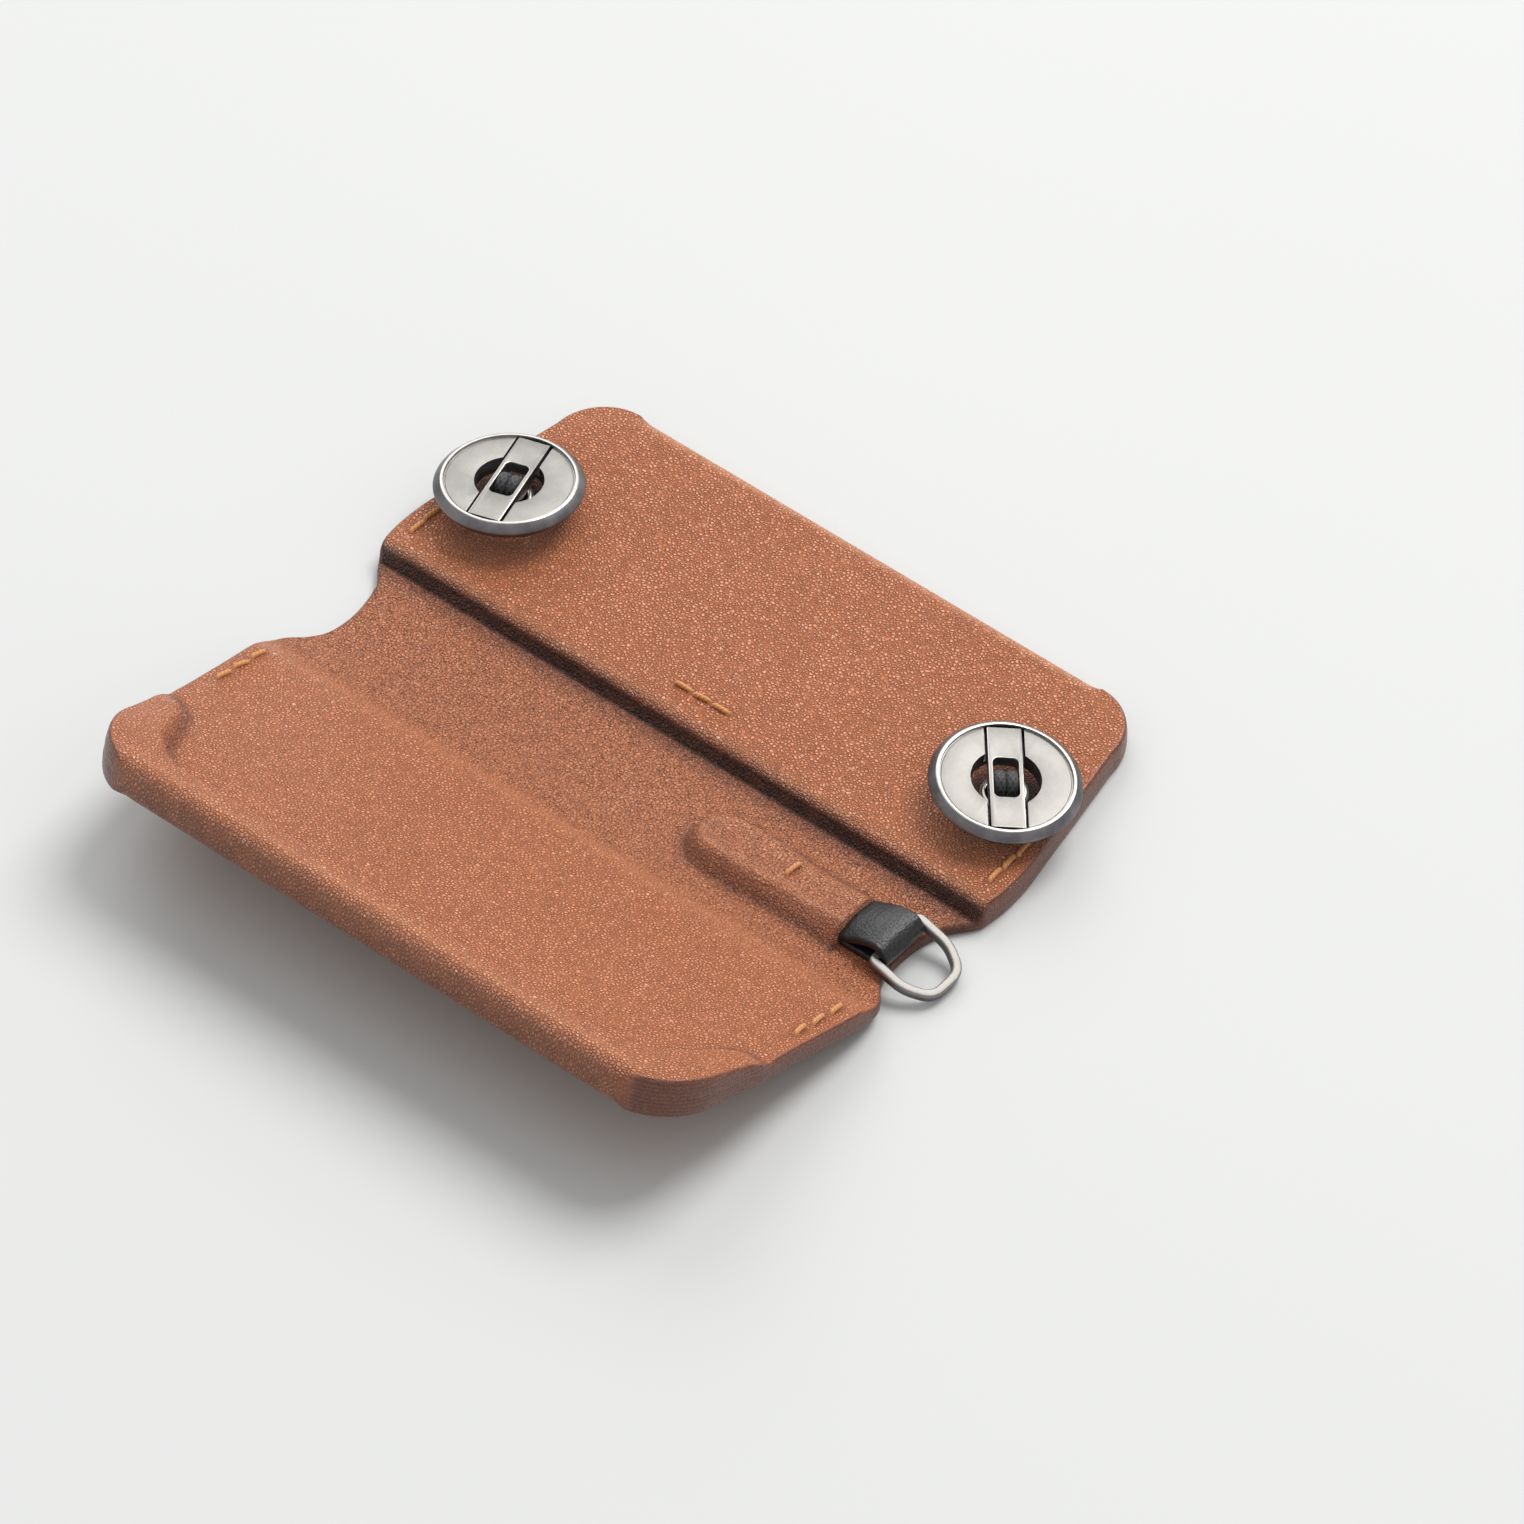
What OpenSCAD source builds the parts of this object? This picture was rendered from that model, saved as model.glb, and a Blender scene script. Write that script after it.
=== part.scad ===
// Key organiser: a moulded leather cover with three leaves, two key posts with
// toggle discs, and a strap with a D-ring. Millimetres.
// Origin: on the surface the cover lies on, at mid-length of the step between
// the back panel and the spine. +X runs along the length, +Y towards the far
// edge of the back panel, +Z up.

/* [Cover] */
// length of the cover at its widest
cover_length = 101; // [85:0.5:115]
// width of the back panel, from the step to its far edge
back_width = 39.4; // [33:0.2:46]
// thickness of the back panel
back_thickness = 4.5; // [3.9:0.1:5.5]
// how far each end of the back panel draws in towards its far corner
back_taper = 4; // [0:0.5:6]
// radius of the back panel's far corners
back_corner = 8; // [5:0.5:11]
// width of the spine, from the step to the flap's fold
spine_width = 20.5; // [19.5:0.25:24]
// thickness of the spine's two layers together
spine_thickness = 2; // [1.6:0.1:2.4]
// how deep each end of the spine is scooped out
spine_scoop = 4.2; // [1:0.2:5]

/* [Flap] */
// width of the flap, from its fold to the outer edge
flap_width = 41.6; // [35:0.2:46]
// thickness of the flap away from its rim
flap_thickness = 3.2; // [2.8:0.1:4]
// how far the flap stands up from flat at rest
flap_tilt = 17; // [10:1:20]
// height of the raised rim above the flap
rim_height = 2.8; // [1.5:0.1:3.2]
// width of the raised rim along the outer edge
rim_width = 5.8; // [4.5:0.1:8]
// how far the rim runs back along each end
rim_return = 19; // [12:0.5:20]
// radius of the flap's outer corners
flap_corner = 10; // [6:0.5:12]

/* [Posts and discs] */
// distance of each post from the nearer end of the cover
post_inset = 9.3; // [8.5:0.1:16]
// distance of the posts from the step
post_y = 15.5; // [13:0.25:18]
// outer radius of a post
post_r = 3.2; // [2.9:0.1:3.5]
// how far a post stands out of the leather
post_height = 2.2; // [1:0.1:2.3]
// outside diameter of a disc
disc_d = 20; // [18:0.2:21]
// thickness of a disc
disc_thickness = 2.6; // [2.4:0.1:3.2]
// gap between a disc and the leather
disc_gap = 2.4; // [2.2:0.1:4]
// diameter of the hole in a disc
disc_hole_d = 9.2; // [8.8:0.1:10]
// length of a toggle bar
toggle_length = 17; // [15:0.1:17.2]
// width of a toggle bar
toggle_width = 4.5; // [4.2:0.1:5]
// tilt of the left disc
left_tilt = 5.5; // [0:0.5:6]
// direction the left disc leans towards, from the length direction
left_lean = 129; // [0:1:360]
// tilt of the right disc
right_tilt = 7; // [0:0.5:7]
// direction the right disc leans towards, from the length direction
right_lean = 14; // [0:1:360]
// direction of the left toggle bar, from the length direction
left_toggle_angle = 106; // [0:1:180]
// direction of the right toggle bar, from the length direction
right_toggle_angle = 131; // [0:1:180]

/* [Strap and ring] */
// width of the strap
strap_width = 7.8; // [6:0.1:9]
// thickness of the strap leather
strap_thickness = 1.1; // [0.9:0.05:1.3]
// distance of the ring's bar from the end of the cover
ring_inset = 5.5; // [4.5:0.1:7.5]
// distance of the strap's middle from the step
strap_y = 11.2; // [10:0.1:12]
// how far the ring stands out from its bar
ring_reach = 9.3; // [8:0.1:12]
// thickness of the ring's wire
ring_wire = 1.4; // [1.2:0.05:1.6]
// width of the ring's wire
ring_side = 1.25; // [1:0.05:1.6]
// gap on each side between the strap and the ring
ring_gap = 0.15; // [0.1:0.05:0.4]
// length of the pocket that the strap goes into
pocket_length = 27.5; // [20:0.5:30]
// width of the pocket beyond each edge of the strap
pocket_margin = 0.6; // [0.4:0.1:1.2]

/* [Hidden] */
$fn = 48;
half = cover_length / 2;
post_x = half - post_inset;
ring_x = half - ring_inset;
ring_half = strap_width / 2 + ring_gap + ring_side;
fold_y = -spine_width - 1;
spine_top = spine_thickness;
arc_rise = 1.54;
arc_mid_r = arc_rise / (1 - cos(flap_tilt));
arc_y = fold_y + arc_mid_r * sin(flap_tilt);
fold_z = arc_rise + spine_thickness / 2 * (1 + cos(flap_tilt));
back_mid = back_thickness / 2;
skin = 1.1;
edge_cover = 2.6;
roll = back_thickness / 2;
post_top = back_thickness + post_height;
post_bore = 2.2;
flange_r = 4.6;
flange_low = skin + 1.2;
flange_high = flange_low + 0.9;
ferrule_r = 3;
disc_low = back_thickness + disc_gap;
disc_r = disc_d / 2;
rim_r = disc_r - 0.95;
face_r = rim_r - 0.35;
face_drop = 0.3;
slot_floor = 0.7;
toggle_low = slot_floor + 0.05;
toggle_high = disc_thickness - 0.2;
slot_half = toggle_width / 2 + 0.35;
window_w = toggle_width - 1.3;
window_l = 6.6;
pin_r = 0.6;
pin_z = 1.05;
cord_r = 0.5;
cord_turn = pin_r + cord_r + 0.02;
cord_side = 0.55;
flap_low = -1.88;
flap_mid = flap_low + flap_thickness / 2;
flap_top = flap_low + flap_thickness;
rim_top = flap_top + rim_height;
flap_end = half - 0.2;
strap_z = spine_top + 0.05 + strap_thickness + 0.85;
bar_r = 0.75;
loop_r = 0.83;
strap_turn = loop_r + strap_thickness;
strap_flat_low = spine_top + 0.05;
strap_flat_high = strap_flat_low + 2 * strap_thickness;
strap_in = ring_x - 15;
pocket_end = ring_x - 5.5;
pocket_x = pocket_end - pocket_length;
pocket_y = -strap_y - 0.5;
pocket_half = strap_width / 2 + pocket_margin;
pocket_top = strap_flat_high + 0.65;
mouth_x = pocket_end - 0.9;
stitch_x = mouth_x - 10.6;
keeper_inset = 16.5;
magnet_pitch = 18;
ring_slope = 19;
thread_r = 0.22;

tan_leather = [0.66, 0.36, 0.22];
dark_leather = [0.12, 0.12, 0.13];
steel = [0.72, 0.72, 0.7];
plate = [0.3, 0.3, 0.32];
thread = [0.86, 0.55, 0.28];

// points of an arc, centre c, radius r, from angle a to angle b
function arc(c, r, a, b, n = 7) =
  [for (i = [0 : n]) c + r * [cos(a + (b - a) * i / n), sin(a + (b - a) * i / n)]];

// points of a right-hand half outline, completed by its mirror image
function both(p) = concat(p, [for (i = [len(p) - 1 : -1 : 0]) [-p[i][0], p[i][1]]]);

// extrudes a (y, z) outline along the length
module along_x(half_length) {
  rotate([90, 0, 90])
    translate([0, 0, -half_length])
      linear_extrude(height = 2 * half_length)
        children();
}

// ---- back panel ----
module back_outline(inset = 0, low = -0.6) {
  x0 = half - inset;
  x1 = half - back_taper - inset;
  y1 = back_width - inset;
  r = max(back_corner - inset, 2);
  polygon(both(concat(
    [[x0, low + inset], [x0, 9]],
    arc([x1 - r, y1 - r], r, 0, 90))));
}

module back_profile(low, high) {
  y0 = back_width - roll;
  intersection() {
    polygon(concat(
      [[-0.6, 0]],
      arc([y0, roll], roll, -90, 90, 10),
      arc([2, back_thickness - 2], 2, 90, 180, 5),
      [[0, spine_thickness - 0.3], [-0.6, spine_thickness - 0.3]]));
    translate([-5, low])
      square([back_width + 10, high - low]);
  }
}

module back_core_space(low, high) {
  translate([0, 0, low])
    linear_extrude(height = high - low)
      back_outline(edge_cover, 1.2);
}

module back_outer_leather() {
  color(tan_leather)
    difference() {
      intersection() {
        along_x(half + 1)
          back_profile(0, back_mid);
        translate([0, 0, -1])
          linear_extrude(height = back_mid + 1)
            back_outline();
      }
      back_core_space(skin, back_mid + 1);
    }
}

module back_inner_leather() {
  color(tan_leather)
    difference() {
      intersection() {
        along_x(half + 1)
          back_profile(back_mid, back_thickness);
        linear_extrude(height = back_thickness + 1)
          back_outline();
      }
      back_core_space(back_mid - 1, back_thickness - skin);
      for (side = [-1, 1])
        translate([side * post_x, post_y, 0])
          cylinder(r = post_r + 0.02, h = 10);
      for (spot = back_stitch_spots)
        stitch_hole(spot, back_thickness);
    }
}

module keeper_space(gap) {
  x = half - keeper_inset + gap;
  translate([-x, back_width - 9.6 - gap, skin + 0.3])
    cube([2 * x, 5.6 + 2 * gap, back_thickness]);
}

module back_stiffener() {
  color(plate)
    difference() {
      translate([0, 0, skin])
        linear_extrude(height = back_thickness - 2 * skin)
          back_outline(edge_cover, 1.2);
      keeper_space(0);
      for (side = [-1, 1])
        translate([side * post_x, post_y, 0])
          cylinder(r = flange_r + 0.02, h = 10);
    }
}

module back_keeper() {
  color(steel)
    intersection() {
      keeper_space(0);
      translate([-half, 0, 0])
        cube([cover_length, back_width, back_thickness - skin]);
    }
}

module post() {
  color(steel)
    rotate_extrude()
      polygon([
        [post_bore, flange_low], [ferrule_r + 0.07, flange_low],
        [ferrule_r + 0.07, skin], [flange_r, skin],
        [flange_r, flange_high], [post_r, flange_high],
        [post_r, post_top - 0.4], [post_r - 0.4, post_top],
        [post_bore + 0.2, post_top], [post_bore, post_top - 0.2]]);
}

module post_left() {
  translate([-post_x, post_y, 0])
    post();
}

module post_right() {
  translate([post_x, post_y, 0])
    post();
}

// ---- stitches ----
// a spot is [x, y, angle]: the middle of one stitch and its direction in plan
back_stitch_spots = concat(
  [for (side = [-1, 1], i = [0 : 2])
    [side * (half - 2.4), 3.8 + 2.9 * i + 1.2, 90]],
  [for (i = [-1 : 1]) [i * 3.1, 5, 0]]);

flap_stitch_spots =
  [for (side = [-1, 1], i = [0 : 2])
    [side * (half - 2.6 - 0.1 * i), -(5.8 + 3.6 * i), 90]];

module stitch_hole(spot, top) {
  translate([spot[0], spot[1], top])
    rotate([0, 0, spot[2]])
      for (end = [-1, 1])
        translate([end * 1.05, 0, -1.4])
          cylinder(r = thread_r + 0.05, h = 2);
}

// one stitch: a low staple of thread whose legs go into the leather
module stitch(spot, top) {
  translate([spot[0], spot[1], top])
    rotate([0, 0, spot[2]]) {
      translate([-1.05 - thread_r, -thread_r, 0.01])
        cube([2.1 + 2 * thread_r, 2 * thread_r, 0.35]);
      for (end = [-1, 1])
        translate([end * 1.05, 0, -1])
          cylinder(r = thread_r, h = 1.1);
    }
}

module back_stitches() {
  color(thread)
    for (spot = back_stitch_spots)
      stitch(spot, back_thickness);
}

// ---- elastic, disc and toggle: local z = 0 is the disc's underside ----
module tilted(side) {
  tilt = side < 0 ? left_tilt : right_tilt;
  lean = side < 0 ? left_lean : right_lean;
  turn = side < 0 ? left_toggle_angle : right_toggle_angle;
  translate([side * post_x, post_y, disc_low])
    rotate([0, 0, lean])
      rotate([0, tilt, 0])
        rotate([0, 0, turn - lean])
          children();
}

module ferrule(side) {
  color(steel)
    translate([side * post_x, post_y, skin + 0.05])
      cylinder(r = ferrule_r, h = flange_low - skin - 0.15);
}

module ferrule_left() {
  ferrule(-1);
}

module ferrule_right() {
  ferrule(1);
}

// two loops side by side; each is a half turn over the pin with two legs
module elastic(side) {
  turn = side < 0 ? left_toggle_angle : right_toggle_angle;
  color(dark_leather)
    for (row = [-1, 1]) {
      tilted(side)
        translate([0, row * cord_side, 0]) {
          translate([0, 0, pin_z])
            rotate([90, 0, 0])
              rotate_extrude(angle = 180)
                translate([cord_turn, 0])
                  circle(r = cord_r);
          for (leg = [-1, 1])
            translate([leg * cord_turn, 0, 0]) {
              sphere(r = cord_r * 1.1);
              cylinder(r = cord_r, h = pin_z);
            }
        }
      translate([side * post_x, post_y, flange_low - 0.1])
        rotate([0, 0, turn])
          for (leg = [-1, 1])
            translate([leg * cord_turn, row * cord_side, 0])
              cylinder(r = cord_r * 0.98, h = disc_low + 0.1 - flange_low);
    }
}

module elastic_left() {
  elastic(-1);
}

module elastic_right() {
  elastic(1);
}

module disc() {
  slot_end = toggle_length / 2 + 0.2;
  color(steel)
    difference() {
      rotate_extrude()
        polygon([
          [disc_hole_d / 2, 0], [disc_r - 1.6, 0], [disc_r - 0.5, 0.5],
          [disc_r, disc_thickness - 1.3], [disc_r, disc_thickness - 0.95],
          [rim_r + 0.05, disc_thickness], [face_r, disc_thickness],
          [face_r, disc_thickness - face_drop],
          [disc_hole_d / 2, disc_thickness - face_drop]]);
      intersection() {
        translate([-slot_end, -slot_half, slot_floor])
          cube([2 * slot_end, 2 * slot_half, 5]);
        cylinder(r = face_r, h = 10);
      }
    }
}

module disc_left() {
  tilted(-1)
    disc();
}

module disc_right() {
  tilted(1)
    disc();
}

module toggle() {
  l = toggle_length / 2;
  w = toggle_width / 2;
  color(steel)
    difference() {
      union() {
        intersection() {
          translate([-l, -w, toggle_low])
            cube([2 * l, 2 * w, toggle_high - toggle_low]);
          cylinder(r = face_r - 0.1, h = 10);
        }
        translate([-1.3, -w, pin_z - pin_r - 0.1])
          cube([2.6, 2 * w, 1]);
      }
      translate([-window_l / 2, -window_w / 2, -1])
        cube([window_l, window_w, 10]);
      translate([0, 0, pin_z])
        rotate([90, 0, 0])
          cylinder(r = pin_r, h = 20, center = true);
    }
}

module toggle_left() {
  tilted(-1)
    toggle();
}

module toggle_right() {
  tilted(1)
    toggle();
}

module toggle_pin() {
  color(steel)
    translate([0, 0, pin_z])
      rotate([90, 0, 0])
        cylinder(r = pin_r, h = toggle_width - 0.2, center = true);
}

module toggle_pin_left() {
  tilted(-1)
    toggle_pin();
}

module toggle_pin_right() {
  tilted(1)
    toggle_pin();
}

// ---- spine ----
module spine_outline() {
  s = spine_width;
  d = spine_scoop;
  polygon(both([
    [half - 0.3, -1], [half - 0.3 - 0.2 * d, -0.09 * s - 0.6],
    [half - 0.3 - 0.58 * d, -0.18 * s - 0.6], [half - 0.3 - 0.86 * d, -0.3 * s],
    [half - 0.3 - d, -0.44 * s], [half - 0.3 - 0.97 * d, -0.58 * s],
    [half - 0.3 - 0.9 * d, -0.72 * s], [half - 0.3 - 0.6 * d, -0.86 * s],
    [half - 0.3 - 0.2 * d, -s], [half - 0.3, -s - 3]]));
}

// the spine's (y, z) section between two heights above its underside
module spine_profile(low, high) {
  c = [arc_y, spine_thickness / 2 + arc_mid_r];
  up = arc_mid_r + spine_thickness / 2;
  polygon(concat(
    [[-1, low]],
    arc(c, up - low, -90, -90 - flap_tilt, 8),
    arc(c, up - high, -90 - flap_tilt, -90, 8),
    [[-1, high]]));
}

module spine_layer(low, high) {
  intersection() {
    along_x(half + 1)
      spine_profile(low, high);
    translate([0, 0, -1])
      linear_extrude(height = 20)
        spine_outline();
  }
}

module pocket_plan() {
  r = pocket_half;
  polygon(concat(
    [[pocket_end, pocket_y - pocket_half + 0.1], [pocket_end, pocket_y + pocket_half + 0.4]],
    arc([pocket_x + r, pocket_y], r, 90, 270, 12)));
}

module pocket_section() {
  w = pocket_half;
  polygon([
    [pocket_y - w - 0.7, 0], [pocket_y - w - 0.1, spine_top + 0.6],
    [pocket_y - w + 1.3, pocket_top - 0.5], [pocket_y - w + 2.5, pocket_top],
    [pocket_y + w - 2.1, pocket_top], [pocket_y + w - 0.9, pocket_top - 0.5],
    [pocket_y + w + 0.3, spine_top + 0.6], [pocket_y + w + 1.1, 0]]);
}

module strap_space() {
  translate([strap_in - 0.02, -strap_y - strap_width / 2, strap_flat_low])
    cube([20, strap_width, strap_flat_high - strap_flat_low]);
}

module spine_outer_leather() {
  color(tan_leather)
    spine_layer(0, spine_thickness * 0.6);
}

module spine_inner_leather() {
  color(tan_leather)
    difference() {
      union() {
        spine_layer(spine_thickness * 0.6, spine_thickness);
        difference() {
          intersection() {
            along_x(half)
              pocket_section();
            linear_extrude(height = 20)
              pocket_plan();
            rotate([90, 0, 0])
              translate([0, 0, -1])
                linear_extrude(height = 30)
                  polygon([
                    [pocket_x, 0], [pocket_x, 2.5], [pocket_x + 1.5, 4],
                    [pocket_x + 3, pocket_top], [stitch_x - 2, pocket_top],
                    [mouth_x - 4.6, pocket_top - 0.2],
                    [mouth_x, pocket_top + 0.3], [mouth_x, 0]]);
          }
          along_x(half + 2)
            polygon([
              [-30, -5], [5, -5], [5, spine_thickness * 0.6], [arc_y, spine_thickness * 0.6],
              [fold_y, spine_thickness * 0.6 + arc_rise + 0.1], [-30, fold_z]]);
        }
      }
      strap_space();
      translate([stitch_x, pocket_y + 0.9, pocket_top - 1.2])
        for (end = [-1, 1])
          translate([0, end * 1.05, 0])
            cylinder(r = thread_r + 0.05, h = 2);
    }
}

module ring_strap() {
  color(dark_leather)
    difference() {
      intersection() {
        translate([0, -strap_y + strap_width / 2, 0])
          rotate([90, 0, 0])
            linear_extrude(height = strap_width)
              union() {
                translate([strap_in, strap_flat_low])
                  square([ring_x - 3.4 - strap_in, strap_flat_high - strap_flat_low]);
                polygon([
                  [ring_x - 3.5, strap_flat_low], [ring_x, strap_z - strap_turn],
                  [ring_x, strap_z + strap_turn], [ring_x - 3.5, strap_flat_high]]);
                translate([ring_x, strap_z])
                  circle(r = strap_turn);
              }
      }
      translate([ring_x, 0, strap_z])
        rotate([90, 0, 0])
          cylinder(r = loop_r, h = 60, center = true);
    }
}

module strap_stitch() {
  color(thread)
    stitch([stitch_x, pocket_y + 0.9, 90], pocket_top);
}

module ring_plan(out) {
  w = ring_half - out;
  t = ring_reach - out;
  r = 2.4 - out * 0.7;
  polygon(concat(
    [[0, w], [0, -w]],
    arc([4.6 - out * 0.4, -w + r], r, -90, -45, 3),
    arc([t - r, -1.9], r, -45, 0, 3),
    arc([t - r, 1.9], r, 0, 45, 3),
    arc([4.6 - out * 0.4, w - r], r, 45, 90, 3)));
}

module d_ring() {
  color(steel)
    translate([ring_x, -strap_y, strap_z])
      rotate([0, ring_slope, 0])
        union() {
          translate([0, 0, -ring_wire / 2])
            linear_extrude(height = ring_wire)
              difference() {
                ring_plan(0);
                translate([-1, 0])
                  ring_plan(ring_side);
                translate([-5, -ring_half + ring_side])
                  square([6, 2 * (ring_half - ring_side)]);
              }
          rotate([90, 0, 0])
            cylinder(r = bar_r, h = 2 * ring_half, center = true);
        }
}

// ---- flap: local y = -s (s runs out from the fold), local z = n ----
module flap_frame() {
  translate([0, fold_y, fold_z])
    rotate([-flap_tilt, 0, 0])
      children();
}

module flap_outline(inset = 0, low = -0.8) {
  x0 = flap_end - inset;
  x1 = flap_end - 1.4 - inset;
  y1 = -(flap_width - inset);
  r = flap_corner - inset;
  polygon(both(concat(
    [[x0 - 2.2, low - inset]],
    arc([x0 - 4, low - 4.2 - inset], 4, 60, 0, 4),
    [[x0, -14]],
    arc([x1 - r, y1 + r], r, 0, -90, 9))));
}

// the flap's (y, z) section between two heights, rounded at the outer edge
module flap_profile(low, high) {
  w = flap_width;
  intersection() {
    polygon(concat(
      [[-0.8, flap_low]],
      [for (p = arc([w - 2.2, flap_low + 2.2], 2.2, -90, 0, 6)) [-p[0], p[1]]],
      [for (p = arc([w - 2, rim_top - 2], 2, 0, 90, 6)) [-p[0], p[1]]],
      [[-4, rim_top], [-4, flap_top], [-2.6, flap_top - 0.2], [-1.4, flap_top - 0.9],
        [-0.8, 0]]));
    translate([-w - 5, low])
      square([w + 10, high - low]);
  }
}

// the same flap seen from the side, rounded at both ends of the length
module end_profile() {
  x0 = flap_end - 1.2;
  polygon(both(concat(
    [[x0 - 0.2, flap_low - 1], [x0 + 2, flap_low - 1], [x0 + 2, flap_top]],
    arc([x0 - 1.6, rim_top - 1.6], 1.6, 0, 90, 4))));
}

module rim_inner() {
  s1 = flap_width - rim_width;
  s0 = flap_width - rim_return;
  polygon(both([
    [flap_end + 3, 3], [flap_end + 3, -s0], [flap_end - 1.2, -s0 - 0.3],
    [flap_end - 3.6, -s0 - 1.2], [flap_end - 5, -s0 - 2.2],
    [flap_end - 5.6, -s0 - 3.4], [flap_end - 8, -s1 + 4.2],
    [flap_end - 9, -s1 + 2.4], [flap_end - 10.6, -s1 + 1], [flap_end - 13, -s1]]));
}

module flap_core(low, high, cover) {
  translate([0, 0, low])
    linear_extrude(height = high - low)
      flap_outline(cover, -3.2 + cover);
}

module flap_outer_leather() {
  color(tan_leather)
    flap_frame()
      difference() {
        intersection() {
          along_x(half + 1)
            flap_profile(flap_low, flap_mid);
          translate([0, 0, flap_low - 1])
            linear_extrude(height = 20)
              flap_outline();
        }
        flap_core(flap_mid - 0.6, flap_mid + 1, 2.6);
      }
}

module flap_inner_leather() {
  color(tan_leather)
    flap_frame()
      difference() {
        intersection() {
          along_x(half + 1)
            flap_profile(flap_mid, flap_top);
          translate([0, 0, flap_low - 1])
            linear_extrude(height = 20)
              flap_outline();
        }
        flap_core(flap_mid - 1, flap_mid + 0.6, 2.6);
        for (spot = flap_stitch_spots)
          stitch_hole(spot, flap_top);
      }
}

module flap_stiffener() {
  color(plate)
    flap_frame()
      flap_core(flap_mid - 0.6, flap_mid + 0.6, 2.6);
}

module magnet_space() {
  s = flap_width - 3.9;
  for (i = [-1.5 : 1.5])
    translate([i * magnet_pitch - 6.5, -s - 1.1, flap_top + 0.01])
      cube([13, 2.6, 1.6]);
}

module flap_ridge() {
  color(tan_leather)
    flap_frame()
      difference() {
        intersection() {
          along_x(half + 1)
            flap_profile(flap_top, rim_top);
          translate([0, 0, flap_low - 1])
            linear_extrude(height = 20)
              flap_outline();
          rotate([90, 0, 0])
            translate([0, 0, -5])
              linear_extrude(height = 60)
                end_profile();
        }
        linear_extrude(height = 20)
          rim_inner();
        magnet_space();
      }
}

module flap_magnets() {
  color(steel)
    flap_frame()
      magnet_space();
}

module flap_stitches() {
  color(thread)
    flap_frame()
      for (spot = flap_stitch_spots)
        stitch(spot, flap_top);
}

back_outer_leather();
back_inner_leather();
back_stiffener();
back_keeper();
post_left();
post_right();
back_stitches();
ferrule_left();
ferrule_right();
elastic_left();
elastic_right();
disc_left();
disc_right();
toggle_left();
toggle_right();
toggle_pin_left();
toggle_pin_right();
spine_outer_leather();
spine_inner_leather();
ring_strap();
strap_stitch();
d_ring();
flap_outer_leather();
flap_inner_leather();
flap_ridge();
flap_stiffener();
flap_magnets();
flap_stitches();
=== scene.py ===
import math

import bmesh
import bpy
import numpy as np
from bpy.props import FloatProperty, FloatVectorProperty, PointerProperty
from mathutils import Matrix, Vector


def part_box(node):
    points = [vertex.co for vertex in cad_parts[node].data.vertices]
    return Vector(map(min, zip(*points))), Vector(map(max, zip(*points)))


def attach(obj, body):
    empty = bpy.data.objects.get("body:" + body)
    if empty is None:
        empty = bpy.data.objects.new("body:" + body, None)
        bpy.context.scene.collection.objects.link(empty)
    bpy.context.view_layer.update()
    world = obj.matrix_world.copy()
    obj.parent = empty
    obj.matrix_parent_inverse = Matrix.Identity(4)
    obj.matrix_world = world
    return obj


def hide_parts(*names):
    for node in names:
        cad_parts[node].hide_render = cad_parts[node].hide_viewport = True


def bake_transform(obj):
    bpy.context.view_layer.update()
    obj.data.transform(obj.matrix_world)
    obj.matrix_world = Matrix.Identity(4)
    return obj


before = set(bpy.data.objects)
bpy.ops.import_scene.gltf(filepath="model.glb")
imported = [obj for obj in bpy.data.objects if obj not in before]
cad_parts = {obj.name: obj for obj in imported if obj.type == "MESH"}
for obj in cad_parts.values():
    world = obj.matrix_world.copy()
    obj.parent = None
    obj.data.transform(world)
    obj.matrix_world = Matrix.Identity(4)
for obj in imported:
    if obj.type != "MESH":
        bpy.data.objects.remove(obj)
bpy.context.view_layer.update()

bl_info = {
    "name": "Key organiser",
    "version": (1, 0, 0),
    "blender": (4, 5, 0),
    "location": "3D View > Sidebar > Key organiser",
    "description": "A moulded leather key cover with two toggle discs and a strap ring",
    "category": "Add Mesh",
}

BACK_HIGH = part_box("back_inner_leather")[1]
STRAP_LOW, STRAP_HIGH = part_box("ring_strap")
RING_LOW, RING_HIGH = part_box("d_ring")
POST_LOW, POST_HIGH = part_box("post_right")
MM = 0.001
SIDES = ((-1, "left"), (1, "right"))
# Out to here, in millimetres, a leaf's columns stay straight; past it they follow the outline.
STRAIGHT = 40.0


# ---- sizes and colours -------------------------------------------------------


def length(name, description, default):
    return FloatProperty(
        name=name, description=description, default=default, min=0.0, unit="LENGTH", precision=5
    )


def angle(name, description, degrees):
    return FloatProperty(
        name=name, description=description, default=math.radians(degrees), subtype="ANGLE"
    )


def colour(name, description, default):
    return FloatVectorProperty(
        name=name, description=description, default=default, min=0.0, max=1.0,
        size=3, subtype="COLOR",
    )


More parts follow.
